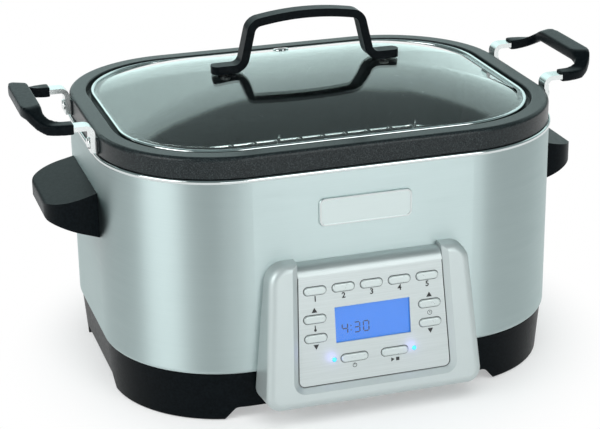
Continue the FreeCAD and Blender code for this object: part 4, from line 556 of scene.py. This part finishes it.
def outline(corners, rounded, corner, wall):
    """A flat outline of painted gap shade in the panel's plane, with its first corners rounded."""
    verts = [marks.verts.new(panel @ Vector((x, y, FACE_LIFT))) for x, y in corners]
    marks.faces.new(verts)
    bent = bmesh.ops.bevel(marks, geom=verts[:rounded], offset=corner, segments=8, profile=0.5,
                           affect="VERTICES", material=-1)
    inner = bent["verts"][0].link_faces[:]
    bmesh.ops.inset_region(marks, faces=inner, thickness=wall, use_boundary=True, use_even_offset=True)
    bmesh.ops.delete(marks, geom=inner, context="FACES")


# Painted shade: a dark ring round each key stands for the shadow in the gap about it.
for key in KEYS:
    caps = [panel.inverted() @ vert.co for vert in nodes[key].data.vertices]
    caps = [point for point in caps if point.z > FACE_LIFT]
    left, right = min(point.x for point in caps) - KEY_GAP, max(point.x for point in caps) + KEY_GAP
    low, high = min(point.y for point in caps) - KEY_GAP, max(point.y for point in caps) + KEY_GAP
    outline(((left, low), (right, low), (right, high), (left, high)), 4, KEY_ROUND * (high - low),
            KEY_GAP - KEY_CLEAR)
# Painted shade: a dark line round the faceplate stands for the shadow in the gap at its edge; the stretch
# along its head is taken out.
outline(((-FACE_HALF_FOOT, FACE_FOOT), (FACE_HALF_FOOT, FACE_FOOT), (FACE_HALF_HEAD, FACE_HEAD),
         (-FACE_HALF_HEAD, FACE_HEAD)), 2, FACE_CORNER, FACE_LINE)
head_line = [face for face in marks.faces
             if (panel.inverted() @ face.calc_center_median()).y > FACE_HEAD - HEAD_BAND]
bmesh.ops.delete(marks, geom=head_line, context="FACES")
for number in range(1, 6):
    writing = bpy.data.curves.new("numeral", "FONT")
    writing.body = str(number)
    writing.size = NUMERAL_SIZE
    writing.offset = NUMERAL_WEIGHT
    writing.align_x = "CENTER"
    writing.align_y = "CENTER"
    text = bpy.data.objects.new("numeral", writing)
    scene.collection.objects.link(text)
    flat_text = bpy.data.meshes.new_from_object(text)
    numeral_place = ((number - 3) * MODE_SPACING, MODE_ROW - MARK_DROP, FACE_LIFT)
    flat_text.transform(panel @ Matrix.Translation(numeral_place))
    marks.from_mesh(flat_text)
    bpy.data.objects.remove(text)
for side in (-1, 1):
    disc(side * SIDE_X, ARROW_UP_ROW, ARROW_SIZE, 3, 0.0)
    disc(side * SIDE_X, ARROW_DOWN_ROW, ARROW_SIZE, 3, math.pi)
bar(marks, *HEAT_STEM)
disc(*HEAT_BULB)
ring(*CLOCK_RING)
for hand in CLOCK_HANDS:
    bar(marks, *hand)
ring(*POWER_RING)
bar(marks, *POWER_STROKE)
disc(*START_SIGN, 3, -math.pi / 2)
bar(marks, *STOP_SIGN)
ink_up(marks)
place("panel_marks_and_gap_shade", marks, black_ink_and_gap_shade, "housing", "faceplate_metal")


# The cooking pan: a deep aluminium casting with a dark non-stick coat, pale-speckled and faintly rough.
# Its outer band rests on the shell's rim, and it lifts out.
pan_coat = paint("pan_coat", (0.012, 0.015, 0.016), 0.34, Specular_IOR_Level=0.28)
tint(pan_coat, speckle(pan_coat, 1600.0, detail=2.0), (0.004, 0.0068, 0.0078), (0.055, 0.072, 0.076),
     0.50, 0.76)
vary(pan_coat, speckle(pan_coat, 700.0), 0.27, 0.36)
emboss(pan_coat, speckle(pan_coat, 1100.0), 0.00003)
wear(pan_coat, "cooking_pan")


# The pan's handles: bent polished straps, riveted to the pan's rim, with black grips moulded on. The grips
# are cast soft, with no edge left, so their forms are remeshed and smoothed.
GRIP_GRID = 0.0011
GRIP_ROUNDS = 14
strap_steel = paint("strap_steel", (0.76, 0.80, 0.795), 0.22, 1.0)
vary(strap_steel, speckle(strap_steel, 120.0, (1.0, 1.0, 3.0)), 0.17, 0.28)
wear(strap_steel, "pan_straps_left", "pan_straps_right", "pan_rivets")
grip_moulding = moulding("grip_moulding", 0.12)
for side in ("left", "right"):
    shape = bmesh.new()
    shape.from_mesh(nodes["pan_grip_" + side].data)
    bmesh.ops.remove_doubles(shape, verts=shape.verts, dist=MERGE)
    grip = place("pan_grip_%s_soft" % side, shape, grip_moulding, "pan", "black_plastic", "pan_grip_" + side)
    regrid = grip.modifiers.new("even_grid", "REMESH")
    regrid.mode = "VOXEL"
    regrid.voxel_size = GRIP_GRID
    regrid.use_smooth_shade = True
    rounding = grip.modifiers.new("rounding", "SMOOTH")
    rounding.factor = 0.5
    rounding.iterations = GRIP_ROUNDS


# The roasting rack: steel wire with a chrome plate, spot-welded to a frame on three bent legs.
# It stands loose on the pan's floor.
chrome = paint("chrome", (0.84, 0.88, 0.88), 0.12, 1.0)
vary(chrome, speckle(chrome, 200.0), 0.08, 0.18)
wear(chrome, "roasting_rack")


# The lid: tempered glass with a slight green tint, pressed to an even dome, and held in a rolled steel bead.
# Both are drawn as loops that follow the glass's outline at growing insets; an eyelet vents the back.
glass_low, glass_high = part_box("lid_glass")
GLASS_MIDDLE = (glass_low + glass_high) / 2
GLASS_HALF = (glass_high - glass_low) / 2
glass_verts = [vert.co for vert in nodes["lid_glass"].data.vertices]
GLASS_EDGE = min(point.y for point in glass_verts) + 1e-5
GLASS_CORNER = GLASS_HALF.x - max(point.x for point in glass_verts if point.y < GLASS_EDGE)
CORNER_STEPS = 28
GLASS_THICK = 0.004
GLASS_TUCK = 0.0004
EDGE_TOP = glass_low.z + GLASS_THICK
DOME_START = 0.003
DOME_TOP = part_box("lid_handle")[0].z + 0.0004
DOME_END = GLASS_HALF.y - 0.003
DOME_POWER = 2.2
DOME_STEPS = 40


def dome_height(inset):
    """How far the glass has risen above its edge at an inset from its outline."""
    reach = 1.0 - max(inset - DOME_START, 0.0) / (GLASS_HALF.y - DOME_START)
    return (DOME_TOP - EDGE_TOP) * (1.0 - reach ** DOME_POWER)


def hoop(profile):
    """A skin over loops of the glass's outline, each at an inset and a height."""
    shape = bmesh.new()
    bmesh.ops.create_grid(shape, x_segments=1, y_segments=1, size=0.5)
    bmesh.ops.scale(shape, verts=shape.verts, vec=(2.0 * GLASS_HALF.x, 2.0 * GLASS_HALF.y, 1.0))
    bmesh.ops.bevel(shape, geom=shape.verts[:], offset=GLASS_CORNER, segments=CORNER_STEPS, profile=0.5,
                    affect="VERTICES", material=-1)
    bmesh.ops.delete(shape, geom=shape.faces[:], context="FACES_ONLY")
    bmesh.ops.translate(shape, verts=shape.verts, vec=(GLASS_MIDDLE.x, GLASS_MIDDLE.y, 0.0))
    about = Matrix.Translation((-GLASS_MIDDLE.x, -GLASS_MIDDLE.y, 0.0))
    loop, inset_now, height_now = shape.edges[:], 0.0, 0.0
    for count, (inset, height) in enumerate(profile):
        if count:
            drawn = bmesh.ops.extrude_edge_only(shape, edges=loop)["geom"]
            loop = [part for part in drawn if isinstance(part, bmesh.types.BMEdge)]
        verts = list({vert for edge in loop for vert in edge.verts})
        size = ((GLASS_HALF.x - inset) / (GLASS_HALF.x - inset_now),
                (GLASS_HALF.y - inset) / (GLASS_HALF.y - inset_now), 1.0)
        bmesh.ops.scale(shape, verts=verts, vec=size, space=about)
        bmesh.ops.translate(shape, verts=verts, vec=(0.0, 0.0, height - height_now))
        inset_now, height_now = inset, height
    bmesh.ops.remove_doubles(shape, verts=shape.verts, dist=1e-7)
    bmesh.ops.holes_fill(shape, edges=[edge for edge in shape.edges if edge.is_boundary])
    bmesh.ops.recalc_face_normals(shape, faces=shape.faces)
    return shape


lid_clear = paint("lid_clear", (0.93, 0.97, 0.955), 0.0, IOR=1.5, Transmission_Weight=1.0)
vary(lid_clear, speckle(lid_clear, 14.0), 0.0, 0.012)
rises = [DOME_START + (DOME_END - DOME_START) * step / DOME_STEPS for step in range(DOME_STEPS + 1)]
upper = [(inset, EDGE_TOP + dome_height(inset)) for inset in (GLASS_TUCK, *rises)]
under = [(inset, height - GLASS_THICK) for inset, height in upper]
place("lid_glass_dome", hoop(under[::-1] + upper), lid_clear, "lid", "lid_glass", "lid_glass")
BEAD_OUT = -0.0009
BEAD_IN = 0.0019
BEAD_RISE = 0.0017
BEAD_LIFT = 0.00005
BEAD_SPRING = EDGE_TOP - 0.0004
BEAD_FOOT = glass_low.z - 0.0008
BEAD_STEPS = 16
arc = [math.pi * step / BEAD_STEPS for step in range(BEAD_STEPS + 1)]
crest = [((BEAD_OUT + BEAD_IN) / 2 - (BEAD_IN - BEAD_OUT) / 2 * math.cos(angle),
          BEAD_SPRING + BEAD_RISE * math.sin(angle)) for angle in arc]
seat = [(BEAD_IN, EDGE_TOP + BEAD_LIFT), (-BEAD_LIFT, EDGE_TOP + BEAD_LIFT), (-BEAD_LIFT, BEAD_FOOT)]
foot = [(BEAD_OUT, BEAD_FOOT), crest[0]]
place("lid_bead", hoop(crest[:-1] + seat + foot), bright_steel, "lid", "trim_steel", "lid_rim")
vent_low, vent_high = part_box("vent_grommet")
VENT_PLACE = (vent_low + vent_high) / 2
VENT_INSET = glass_high.y - VENT_PLACE.y
VENT_SLOPE = math.atan((dome_height(VENT_INSET - 0.001) - dome_height(VENT_INSET + 0.001)) / -0.002)
VENT_RADIUS = (vent_high.x - vent_low.x) / 2
VENT_BORE = 0.0030
VENT_FACE = 0.0012
VENT_DEPTH = -0.005
VENT_FLANGE = 0.002
VENT_ROUND = 0.0008
LIP_RUN, LIP_DROP = 0.0004, 0.0006
eyelet = bmesh.new()
turned = [(VENT_BORE, VENT_DEPTH), (VENT_BORE, VENT_FACE - LIP_DROP), (VENT_BORE + LIP_RUN, VENT_FACE),
          (VENT_RADIUS - VENT_ROUND, VENT_FACE), (VENT_RADIUS, VENT_FACE - VENT_ROUND), (VENT_RADIUS, 0.0),
          (VENT_RADIUS - VENT_FLANGE, 0.0), (VENT_RADIUS - VENT_FLANGE, VENT_DEPTH), (VENT_BORE, VENT_DEPTH)]
points = [eyelet.verts.new((out, 0.0, up)) for out, up in turned]
edges = [eyelet.edges.new(pair) for pair in zip(points, points[1:])]
bmesh.ops.spin(eyelet, geom=points + edges, cent=(0.0, 0.0, 0.0), axis=(0.0, 0.0, 1.0), angle=2.0 * math.pi,
               steps=48)
bmesh.ops.remove_doubles(eyelet, verts=eyelet.verts, dist=MERGE)
bmesh.ops.recalc_face_normals(eyelet, faces=eyelet.faces)
seated = Matrix.Translation((VENT_PLACE.x, VENT_PLACE.y, EDGE_TOP + dome_height(VENT_INSET)))
bmesh.ops.transform(eyelet, verts=eyelet.verts, matrix=seated @ Matrix.Rotation(-VENT_SLOPE, 4, "X"))
place("vent_eyelet", eyelet, bright_steel, "lid", "trim_steel", "vent_grommet")


# The lid's handle: a flat black moulding bent up over the glass and screwed through it. Its edges are
# rounded but for those of its feet, which stay sharp on the glass.
GRIP_ROUND = 0.0016
FOOT_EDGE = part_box("lid_handle")[0].z + 0.0001
soften("lid_handle", GRIP_ROUND, "lid", "black_plastic", grip_moulding, FOOT_EDGE)
